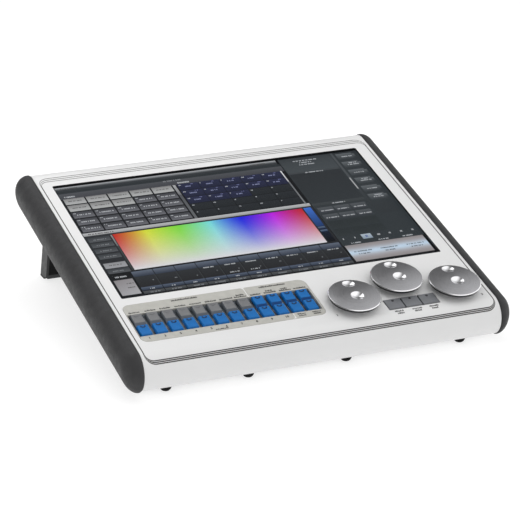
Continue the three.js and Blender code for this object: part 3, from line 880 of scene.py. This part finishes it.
def buttons():
    third = (BUTTON_WELL[1] - BUTTON_WELL[0]) / 3
    for i in range(3):
        name = f"button_{i + 1}"
        at = (BUTTON_WELL[0] + (i + 0.5) * third, (BUTTON_WELL[2] + BUTTON_WELL[3]) / 2, 0)
        cap = softened(cap_shape(third - 0.7, 18.0, 0.15, 2.0, inset=0.5), 0.5, 3)
        lens = moved(turned([(0, 0), (1.5, 0), (1.5, 0.2), (1.2, 0.3), (0, 0.34)], 24), 0, 5.2, 0.68)
        marked = with_mark(on_stem(cap), lens)
        show_marked(name + "_cap", marked, name, [SLATE, WHEEL_SKIRT], at=at, replaces=[name],
                    slot="slate_button")


def legend_plate():
    plate = prism(rectangle(*LEGEND, 8, 10), -2, LEGEND_TOP)
    mesh = softened(cut(plate, [prism(rectangle(*WELL), -3, 1)]), 0.2)
    show("legend_skin", mesh, "desk", LEGEND_SKIN, replaces=["legend_plate"], slot="legend_plate",
         smooth=30)


# ---- Wheels -------------------------------------------------------------------------------------

RIM, CROWN, CHAMFER = 9.5, 2.4, 0.8          # height at the edge, rise to the middle, edge cut
SKIRT = (5.2, 8.25)                          # lower and upper end of the dark edging
SHAFT = (3, -15.5)                           # radius and lower end
UNDERSIDE = 2.2
DIMPLE_DEPTH = 2.3
DIMPLES = [(1.0, -4.5, 7.3), (1.5, 20.2, 6.9)]       # across, along and radius


def crown_at(radius):
    edge = WHEEL_RADIUS - CHAMFER
    return RIM + CROWN * (1 - (radius / edge) ** 2)


def wheels():
    """Domed discs, undercut below so that the rim reads thin, with a polished edge and dimples."""
    low, high = SKIRT
    edge = WHEEL_RADIUS - CHAMFER
    under = [(12, UNDERSIDE), (9, 4.6), (2.6, low), (1.1, 5.8), (0.6, high), (0.3, high + 0.05),
             (0, high + 0.4), (0, RIM - CHAMFER)]
    profile = [(0, SHAFT[1]), SHAFT, (SHAFT[0], UNDERSIDE)]
    profile += [(WHEEL_RADIUS - inwards, height) for inwards, height in under]
    profile += [(edge + CHAMFER * 0.35, RIM - CHAMFER * 0.12), (edge, RIM)]
    profile += [(edge * i / 16, crown_at(edge * i / 16)) for i in range(15, -1, -1)]
    for name, (x, y) in WHEELS.items():
        mesh = turned(profile, 128)
        balls, tools = [], []
        for dx, dy, reach in DIMPLES:
            top = crown_at(math.hypot(dx, dy))
            ball = (reach ** 2 + DIMPLE_DEPTH ** 2) / (2 * DIMPLE_DEPTH)
            centre = Vector((dx, dy, top - DIMPLE_DEPTH + ball))
            balls.append((centre, ball))
            bm = bmesh.new()
            bmesh.ops.create_uvsphere(bm, u_segments=96, v_segments=72, radius=ball)
            tools.append(moved(to_mesh(bm), *centre))
        mesh = softened(cut(mesh, tools), 0.3, 3, 12)
        numbers = []
        for face in mesh.polygons:
            near = any(abs((face.center - c).length - r) < 0.03 for c, r in balls)
            chamfer = face.center.xy.length > edge + 0.05 and face.center.z > RIM - CHAMFER
            edging = low + 0.1 < face.center.z < high and face.center.xy.length > WHEEL_RADIUS - 2.5
            numbers.append(1 if near or chamfer else 2 if edging else 0)
        mesh.polygons.foreach_set("material_index", numbers)
        show_marked(name + "_disc", mesh, name, [WHEEL_METAL, POLISHED, WHEEL_SKIRT], at=(x, y, 0),
                    replaces=[name], slot="wheel_metal", smooth=28)


# ---- Display ------------------------------------------------------------------------------------

IMAGE_BASE = -5.08           # just above the display panel, just under the glass
IMAGE_SHIFT = (0.006, 0.0145)      # how far the picture is shifted to the right and to the rear
IMAGE_REACH = (1.008, -0.01)       # how far it may run under the cover, to the right and to the rear
LAYER = 0.03


class Interface:
    """A generic control screen, drawn as thin coloured tiles. Places are shares of the opening:
    across from the left edge and down from the rear edge. Colours are 0 to 255 screen values."""

    def __init__(self):
        self.bm = bmesh.new()
        self.tint = self.bm.verts.layers.float_color.new("tint")
        self.rng = random.Random(5)

    def grid(self, left, top, right, bottom, layer, colour_at, columns=1, rows=1):
        """A closed tile whose corners take their colours from a function of across and down."""
        x0, x1 = [(min(max(u + IMAGE_SHIFT[0], 0), IMAGE_REACH[0]) - 0.5) * OPENING[0]
                  for u in (left, right)]
        y0, y1 = [(1 - min(max(v - IMAGE_SHIFT[1], IMAGE_REACH[1]), 1)) * OPENING[1]
                  for v in (top, bottom)]
        low = IMAGE_BASE + layer * LAYER
        sheets = []
        for z in (low, low + LAYER * 0.8):
            sheet = [[self.bm.verts.new((x0 + (x1 - x0) * i / columns, y0 + (y1 - y0) * j / rows, z))
                      for i in range(columns + 1)] for j in range(rows + 1)]
            for j, line in enumerate(sheet):
                for i, vertex in enumerate(line):
                    vertex[self.tint] = srgb(*colour_at(i / columns, j / rows))
            sheets.append(sheet)
        under, over = sheets
        for j in range(rows):
            for i in range(columns):
                for sheet, up in ((over, True), (under, False)):
                    corners = [sheet[j + 1][i], sheet[j + 1][i + 1], sheet[j][i + 1], sheet[j][i]]
                    self.bm.faces.new(corners if up else corners[::-1])
        rim = [(0, i) for i in range(columns)] + [(j, columns) for j in range(rows)]
        rim += [(rows, i) for i in range(columns, 0, -1)] + [(j, 0) for j in range(rows, 0, -1)]
        for (a, b), (c, d) in zip(rim, rim[1:] + rim[:1]):
            self.bm.faces.new((under[c][d], under[a][b], over[a][b], over[c][d]))

    def tile(self, left, top, right, bottom, layer, upper, lower=None):
        lower = lower or upper
        self.grid(left, top, right, bottom, layer, lambda u, v: upper if v < 0.5 else lower)

    def words(self, x, y, width, layer, colour, height=0.011):
        """A short line of bright or dark strokes that stands for a word."""
        left = x - width / 2
        while left < x + width / 2:
            stroke = self.rng.uniform(0.0018, 0.004)
            self.tile(left, y - height / 2, left + stroke, y + height / 2, layer, colour)
            left += stroke + self.rng.choice((0.0012, 0.0012, 0.004))


HUES = [(196, 40, 36), (220, 226, 60), (128, 222, 64), (122, 224, 222), (28, 34, 224), (190, 28, 228),
        (194, 36, 42)]
TEXT, DIM_TEXT, DARK_TEXT = (190, 192, 195), (134, 136, 139), (78, 77, 76)


def between(first, second, share):
    """A mix of two screen colours."""
    return tuple(a + (b - a) * share for a, b in zip(first, second))


def fade(upper, lower, speed=1.0, slant=0.0):
    """A colour that runs from upper to lower going down, and with a slant also going across."""
    return lambda u, v: between(upper, lower, min(1, speed * v) + slant * u)


def hue_colour(u, v):
    """Hue runs across; the colour fades to near white going down."""
    sector = min(int(u * 6), 5)
    pure = between(HUES[sector], HUES[sector + 1], u * 6 - sector)
    return between(pure, (224, 222, 225), v ** 1.1)


def draw_windows(ui):
    """A title bar and two fields of five by five tiles, each with its scroll bar."""
    ui.grid(0.004, 0.0, 0.723, 0.042, 1, fade((188, 189, 191), (58, 61, 64), 1.6), 1, 6)
    ui.words(0.045, 0.02, 0.05, 2, DARK_TEXT)
    ui.words(0.66, 0.02, 0.05, 2, DARK_TEXT)
    ui.tile(0.004, 0.042, 0.728, 0.062, 1, (50, 54, 57))
    ui.tile(0.004, 0.062, 0.728, 0.112, 1, (82, 84, 88), (68, 68, 73))
    ui.words(0.365, 0.066, 0.055, 2, DIM_TEXT)
    ui.words(0.035, 0.094, 0.035, 2, TEXT)
    ui.words(0.395, 0.094, 0.035, 2, TEXT)
    for row in range(5):
        for column in range(5):
            left, top = 0.0100 + column * 0.0695, 0.1075 + row * 0.0625
            if row == 0 or (row == 1 and column < 3):
                ui.tile(left, top, left + 0.0645, top + 0.054, 1, (138, 137, 136), (184, 184, 183))
                ui.words(left + 0.033, top + 0.026, 0.042, 2, DARK_TEXT, 0.007)
            else:
                ui.tile(left, top, left + 0.0645, top + 0.054, 1, (62, 63, 67), (110, 110, 115))
                ui.words(left + 0.034, top + 0.027, 0.042, 2, TEXT, 0.009)
                ui.words(left + 0.008, top + 0.012, 0.008, 2, TEXT, 0.006)
    ui.tile(0.3575, 0.108, 0.3665, 0.2, 1, (176, 176, 176), (120, 120, 123))
    ui.tile(0.3575, 0.2, 0.3665, 0.42, 1, (88, 89, 93), (104, 106, 108))
    for row in range(5):
        for column in range(5):
            left, top = 0.3715 + column * 0.0685, 0.106 + row * 0.0625
            lit = row < 2 or (row == 2 and column < 3)
            shades = ((45, 48, 74), (38, 41, 62)) if lit else ((44, 47, 51), (40, 43, 46))
            ui.tile(left, top, left + 0.0668, top + 0.0585, 1, *shades)
            ui.words(left + 0.007, top + 0.012, 0.005, 2, TEXT, 0.007)
            if lit:
                ui.words(left + 0.032, top + 0.028, 0.02, 2, (140, 145, 180), 0.009)
                ui.words(left + 0.046, top + 0.010, 0.006, 2, (120, 124, 168), 0.006)
    ui.tile(0.7135, 0.106, 0.7175, 0.21, 2, (232, 232, 234), (196, 196, 198))
    ui.tile(0.7135, 0.21, 0.7185, 0.43, 2, (112, 114, 117), (124, 126, 128))
    ui.tile(0.004, 0.422, 0.727, 0.448, 2, (192, 192, 193), (158, 158, 158))
    ui.words(0.057, 0.436, 0.075, 3, DARK_TEXT, 0.008)


def draw_colour_picker(ui):
    """A column of buttons, the colour field and its two brightness bars."""
    ui.tile(0.004, 0.448, 0.728, 0.78, 1, (48, 50, 53), (40, 41, 44))
    for i, top in enumerate((0.466, 0.514, 0.564, 0.615, 0.69, 0.74)):
        if i == 4:
            ui.tile(0.010, top, 0.0765, top + 0.044, 2, (148, 148, 150), (160, 160, 163))
        else:
            ui.tile(0.010, top, 0.0765, top + 0.038, 2, (60, 63, 66), (88, 90, 93))
        ui.words(0.043, top + 0.021, 0.036, 3, DARK_TEXT if i == 4 else DIM_TEXT, 0.007)
    ui.tile(0.0815, 0.462, 0.086, 0.56, 2, (150, 148, 146), (110, 112, 112))
    ui.tile(0.0815, 0.56, 0.086, 0.77, 2, (66, 72, 72), (60, 64, 64))
    ui.grid(0.0885, 0.46, 0.6925, 0.772, 2, hue_colour, 72, 14)
    ui.grid(0.6975, 0.46, 0.7215, 0.63, 2, fade((64, 112, 204), (36, 62, 110)), 1, 6)
    ui.grid(0.6975, 0.63, 0.7215, 0.77, 2, fade((30, 42, 68), (14, 15, 20)), 1, 6)
    for y in (0.643, 0.672):
        ui.tile(0.6985, y - 0.008, 0.7205, y + 0.008, 3, (96, 112, 136), (50, 66, 92))
    ui.words(0.037, 0.812, 0.034, 2, TEXT)
    ui.grid(0.010, 0.836, 0.0665, 0.962, 2, fade((142, 137, 138), (168, 166, 168), slant=0.3), 3, 4)
    ui.words(0.052, 0.872, 0.02, 3, DARK_TEXT, 0.007)
    ui.words(0.05, 0.905, 0.022, 3, DARK_TEXT, 0.007)


def draw_faders(ui):
    """Ten fader strips, side by side."""
    for i in range(10):
        left = 0.0735 + i * 0.0654
        right = left + 0.0632
        ui.tile(left, 0.785, right, 0.829, 2, (98, 106, 120), (52, 58, 72))
        ui.tile(left, 0.829, right, 0.918, 2, (50, 52, 55), (40, 40, 42))
        ui.tile(left + 0.0615, 0.829, left + 0.0632, 0.918, 3, (72, 74, 76))
        ui.tile(left, 0.918, right, 0.946, 2, (88, 98, 116), (40, 46, 58))
        ui.tile(left, 0.95, right, 0.972, 2, (84, 86, 88), (60, 62, 64))
        if i >= 3:
            ui.words(left + 0.031, 0.835, 0.034, 3, TEXT, 0.008)
        ui.words(left + 0.031, 0.935, 0.012, 3, TEXT, 0.007)
        ui.words(left + 0.034, 0.963, 0.028, 3, DIM_TEXT, 0.008)
        ui.words(left + 0.05, 0.87 + 0.008 * (i % 3), 0.006, 3, DIM_TEXT, 0.006)
        if i in (4, 5):
            ui.words(left + 0.03, 0.9, 0.028, 3, TEXT, 0.008)


def draw_side_panel(ui):
    """The right-hand column: a read-out, tabs, a small keypad and a status bar."""
    ui.tile(0.7305, 0.0, 1.0, 0.823, 1, (54, 58, 61), (53, 58, 61))
    ui.tile(0.732, 0.0, 0.906, 0.14, 2, (64, 68, 71), (72, 77, 80))
    for line, width in enumerate((0.075, 0.04, 0.05)):
        ui.words(0.813, 0.036 + 0.019 * line, width, 3, TEXT, 0.008)
    ui.tile(0.732, 0.142, 0.906, 0.15, 2, (72, 75, 78))
    ui.words(0.818, 0.15, 0.06, 3, TEXT, 0.008)
    ui.tile(0.734, 0.157, 0.905, 0.43, 2, (49, 52, 55), (52, 56, 59))
    ui.tile(0.732, 0.434, 0.906, 0.456, 2, (66, 70, 72), (60, 64, 66))
    ui.words(0.818, 0.45, 0.042, 3, TEXT, 0.008)
    ui.tile(0.909, 0.0, 0.917, 0.25, 2, (80, 84, 87), (76, 80, 83))
    ui.tile(0.909, 0.25, 0.917, 0.53, 2, (70, 74, 77), (52, 56, 59))
    ui.tile(0.9095, 0.247, 0.9135, 0.354, 3, (176, 178, 178))
    tab = fade((100, 104, 107), (60, 64, 67))
    for i in range(6):
        top = 0.019 + 0.079 * i
        ui.grid(0.9245, top, 0.978, top + 0.055, 2, tab, 1, 4)
        ui.grid(0.978, top + 0.012, 0.986, top + 0.043, 2, tab, 1, 4)
        ui.words(0.957, top + 0.03, 0.035, 3, TEXT, 0.008)
        if i % 2:
            ui.words(0.957, top + 0.014, 0.022, 3, TEXT, 0.008)
    for row in range(4):
        for column in range(3):
            left, top = 0.7385 + column * 0.0545, (0.475, 0.54, 0.604, 0.674)[row]
            if row < 2:
                ui.tile(left, top, left + 0.0505, top + 0.05, 2, (84, 88, 91), (58, 61, 66))
                ui.words(left + 0.026, top + 0.031, 0.038, 3, TEXT, 0.008)
            else:
                ui.tile(left, top, left + 0.0515, top + 0.064, 2, (46, 51, 53), (51, 56, 58))
    ui.tile(0.914, 0.497, 0.992, 0.592, 2, (54, 58, 61), (52, 56, 59))
    for i in range(7):
        x = 0.7475 + i * 0.0378
        if i == 2:
            ui.tile(x - 0.016, 0.748, x + 0.016, 0.788, 2, (178, 190, 200), (140, 154, 168))
            ui.words(x, 0.767, 0.008, 3, (70, 90, 150), 0.016)
        else:
            ui.words(x, 0.767, 0.005, 3, TEXT, 0.012)
    for x in (0.776, 0.865, 0.945):
        ui.words(x, 0.81, 0.03, 3, TEXT, 0.009)

    def glow(u, v):
        """A warm grey bar with a pale blue band along its middle."""
        band = math.exp(-((v - 0.47) / 0.2) ** 2)
        base = between((178, 172, 174), (148, 142, 142), abs(2 * v - 1))
        return between(base, (198, 218, 236), band * (0.9 + 0.1 * math.cos(18.8 * u)))
    ui.grid(0.734, 0.824, 0.991, 0.964, 2, glow, 18, 14)
    for i in range(3):
        for line in range(2):
            ui.words(0.777 + i * 0.086, 0.884 + line * 0.022, 0.055 - 0.02 * line, 3, (70, 78, 88), 0.008)


def display():
    ui = Interface()
    ui.tile(-1.0, -1.0, 2.0, 2.0, 0, (24, 25, 28), (22, 23, 25))
    draw_windows(ui)
    draw_colour_picker(ui)
    draw_faders(ui)
    draw_side_panel(ui)
    show("screen_image", as_drawn(ui.bm), "desk", LIT, slot="screen_panel", smooth=10)


# ---- Feet, leg and rear fittings ----------------------------------------------------------------

def feet():
    """Domed rubber feet whose tips are pressed flat on the table."""
    radius, collar = 6.5, 1.6
    for i in range(4):
        name = f"front_foot_{i + 1}"
        low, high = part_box(name)
        middle = in_panel(Vector(((low.x + high.x) / 2, 0, 0)))
        at = Vector((middle.x, -92.5, -2 * NOSE - 0.3 - collar))
        height = (PANEL @ (at * MM)).z / MM
        profile = arc(0, 0, radius, -QUARTER, 0, 20)
        profile += [(radius, collar - 0.3), (radius - 0.3, collar), (0, collar)]
        mesh = turned(profile, 48)
        table = spun(box((-20, 20), (-20, 20), (-40, -height)), -TILT, "X")
        show(name + "_dome", cut(mesh, [table]), "desk", RUBBER_AND_PAINTED_SHADE, at=at, replaces=[name], slot="rubber",
             smooth=50)


def leg_painted_shade_sheet():
    """A thin black sheet in the rubber finish on the leg's front plate: painted shade, for the deep shade
    under the body.
    """
    mesh = softened(box((-182, 182), (221.5, 221.98), (-118, -59)), 0.15)
    show("leg_painted_shade_sheet", mesh, "leg", RUBBER_AND_PAINTED_SHADE, slot="rubber")


DOWNWARDS, REARWARDS = math.pi, -QUARTER             # turns about X


def screw(name, at, radius, turn):
    """A domed cross-recess screw head, drawn standing up along +Z and then turned."""
    head = turned([(0, 0), (radius, 0), (radius, 0.25), (radius * 0.7, 0.8), (0, 1.05)], 24)
    slots = [spun(box((-radius * 0.55, radius * 0.55), (-0.3, 0.3), (0.45, 2)), angle, "Z")
             for angle in (0, QUARTER)]
    head = spun(softened(cut(head, slots), 0.08, 1), turn, "X")
    show(name, head, "desk", STEEL, at=at, slot="socket_metal")


def underside():
    places = [(x, y) for y in (-76, 70, 205) for x in (-188, -62, 62, 188)]
    for i, (x, y) in enumerate(places):
        screw(f"pan_screw_{i + 1:02d}", (x, y, -2 * NOSE), 2.6, DOWNWARDS)


def rear_fittings():
    """Small parts of the sockets, and the screws that hold the rear panel."""
    face, z = REAR_FACE, SOCKET_LINE
    for i in (1, 2):
        x = node_middle(f"dmx_socket_{i}").x
        insert = turned([(0, 0), (9.4, 0), (9.4, 0.6), (9.0, 1.0), (0, 1.0)], 48)
        pins = []
        for k in range(5):
            angle = math.radians(-120 + 60 * k)
            hole = turned([(0, 0.4), (0.8, 0.4), (0.8, 3), (0, 3)], 16)
            pins.append(moved(hole, 5.6 * math.sin(angle), 5.6 * math.cos(angle)))
        insert = spun(cut(insert, pins), REARWARDS, "X")
        show(f"dmx_insert_{i}", insert, "desk", SOCKET_PLASTIC, at=(x, face - 5, z),
             slot="socket_plastic")
        latch = softened(box((-3, 3), (0, 1.4), (9.9, 12.2)), 0.3)
        show(f"dmx_latch_{i}", latch, "desk", NICKEL, at=(x, face, z - 0.3), slot="socket_metal")
        for k, (dx, dz) in enumerate(((-12.4, 9.3), (12.4, -9.3))):
            screw(f"dmx_screw_{i}_{k + 1}", (x + dx, face, z + dz), 1.7, REARWARDS)
    for k, (x, dz) in enumerate(((137.5, -2.2), (146.5, -2.2), (142, 2.6))):
        blade = softened(box((-1, 1), (-15.5, -3), (-2, 2)), 0.3)
        show(f"inlet_blade_{k + 1}", blade, "desk", NICKEL, at=(x, face, z + dz), slot="socket_metal")
    contacts = [box((x - 0.25, x + 0.25), (-12, -2), (3.0, 3.7))
                for x in [-3.6 + 1.03 * k for k in range(8)]]
    show("network_contacts", merged(contacts), "desk", GOLD, at=(node_middle("network_socket").x, face, z),
         slot="socket_metal")
    for i, x in enumerate((-190, -120, -10, 60, 110, 190)):
        screw(f"rear_screw_{i + 1}", (x, SCREW_FACE, -12), 2.0, REARWARDS)
    bar = box((-3.2, 3.2), (0, 0.12), (4.4, 5.0))
    ring = turned([(1.1, 0), (1.7, 0), (1.7, 0.12), (1.1, 0.12), (1.1, 0)], 24)
    marks = merged([bar, moved(spun(ring, REARWARDS, "X"), 0, 0, -4.7)])
    marks.transform(Matrix.Rotation(ROCKER_REST, 4, "X") @ Matrix.Translation((0, 2.1, 0)))
    rocker_x = node_middle("power_inlet").x + ROCKER_OFFSET
    show("rocker_marks", marks, "power_rocker", PALE_INK, at=(rocker_x, SCREW_FACE, z),
         slot="rocker_plastic")


# ---- Camera, floor and light --------------------------------------------------------------------

CAMERA_OFFSET = (-765.2, -2060.1, 901.7)     # from the display's front left corner
CAMERA_FORWARD = (0.37983, 0.85059, -0.36363)
CAMERA_UP = (0.13305, 0.33878, 0.93142)
LENS, SENSOR = 160, 36


def camera():
    """A long lens from the left front, above the desk."""
    corner = PANEL @ (Vector((-OPENING[0] / 2, 0, 0)) * MM)
    forward, up = Vector(CAMERA_FORWARD), Vector(CAMERA_UP)
    right = forward.cross(up).normalized()
    up = right.cross(forward).normalized()
    data = bpy.data.cameras.new("camera")
    data.lens = LENS
    data.sensor_width = SENSOR
    data.clip_end = 50
    eye = linked("camera", data)
    turn = Matrix((right, up, -forward.normalized())).transposed().to_4x4()
    eye.matrix_world = Matrix.Translation(corner + Vector(CAMERA_OFFSET) * MM) @ turn
    bpy.context.scene.camera = eye


FLOOR_HALF = 12              # metres
FLOOR_SINK = 0.0002          # how far the floor lies under the feet, in metres
FLOOR_GLOW = 0.72            # it glows a little, which keeps the shadows soft


def floor():
    """A pale table, lit from below."""
    finish = Finish("floor", (0.35, 0.35, 0.35, 1), 0.9)
    finish.rough(40, 0.85, 0.95)
    put(finish.surface, Emission_Color=(1, 1, 1, 1), Emission_Strength=FLOOR_GLOW)
    bm = bmesh.new()
    outline = rectangle(-FLOOR_HALF, FLOOR_HALF, -FLOOR_HALF, FLOOR_HALF)
    bm.faces.new([bm.verts.new((x, y, -FLOOR_SINK)) for x, y in outline])
    ground = linked("floor", as_drawn(bm))
    ground.data.materials.append(finish.material)


def lamp(name, place, target, size, power, mirrored=True):
    """A soft box. Its reflection shows in glossy surfaces only if it is mirrored."""
    data = bpy.data.lights.new(name, "AREA")
    data.shape = "RECTANGLE"
    data.size, data.size_y = size
    data.energy = power
    light = linked(name, data)
    aim = (Vector(target) - Vector(place)).to_track_quat("-Z", "Y")
    light.matrix_world = Matrix.Translation(place) @ aim.to_matrix().to_4x4()
    light.visible_glossy = mirrored


BRIGHT_SIDE = (0.72, -0.62, 0.3)             # the direction of the room's bright side
ROOM_LEVELS = (0.16, 1.12)                   # the room's light: away from that side, and on it


def studio():
    """Soft boxes above, behind and on both sides, and a room that is brighter towards the right
    front. Places and sizes are in metres and powers in watts."""
    lamp("top_box", (0.1, 0.3, 2.2), (0, 0, 0), (2.4, 2.4), 15, mirrored=False)
    lamp("rear_box", (-0.3, 0.75, 1.05), (0, 0, 0.1), (1.1, 1.1), 5)
    lamp("left_box", (-1.15, 0.0, 0.5), (0, 0, 0), (0.9, 0.7), 5.5, mirrored=False)
    lamp("right_box", (1.1, 0.3, 0.5), (0, 0, 0), (0.9, 0.7), 2.5, mirrored=False)
    world = bpy.data.worlds.new("studio")
    world.use_nodes = True
    tree = world.node_tree
    place = tree.nodes.new("ShaderNodeTexCoord")
    towards = tree.nodes.new("ShaderNodeVectorMath")
    towards.operation = "DOT_PRODUCT"
    towards.inputs[1].default_value = Vector(BRIGHT_SIDE).normalized()
    level = tree.nodes.new("ShaderNodeMapRange")
    put(level, From_Min=0.1, From_Max=0.5, To_Min=ROOM_LEVELS[0], To_Max=ROOM_LEVELS[1])
    tree.links.new(place.outputs["Generated"], towards.inputs[0])
    tree.links.new(towards.outputs["Value"], level.inputs["Value"])
    tree.links.new(level.outputs["Result"], tree.nodes["Background"].inputs["Strength"])
    put(tree.nodes["Background"], Color=(1, 1, 1, 1))
    bpy.context.scene.world = world
    bpy.context.scene.view_settings.view_transform = "Standard"


# ---- Build --------------------------------------------------------------------------------------

camera()
studio()
floor()
paint_nodes()
cover()
for side in (-1, 1):
    cheek(side)
pinstripes()
legend_plate()
legend_marks()
panel_marks()
keys()
buttons()
wheels()
display()
feet()
leg_painted_shade_sheet()
underside()
rear_fittings()
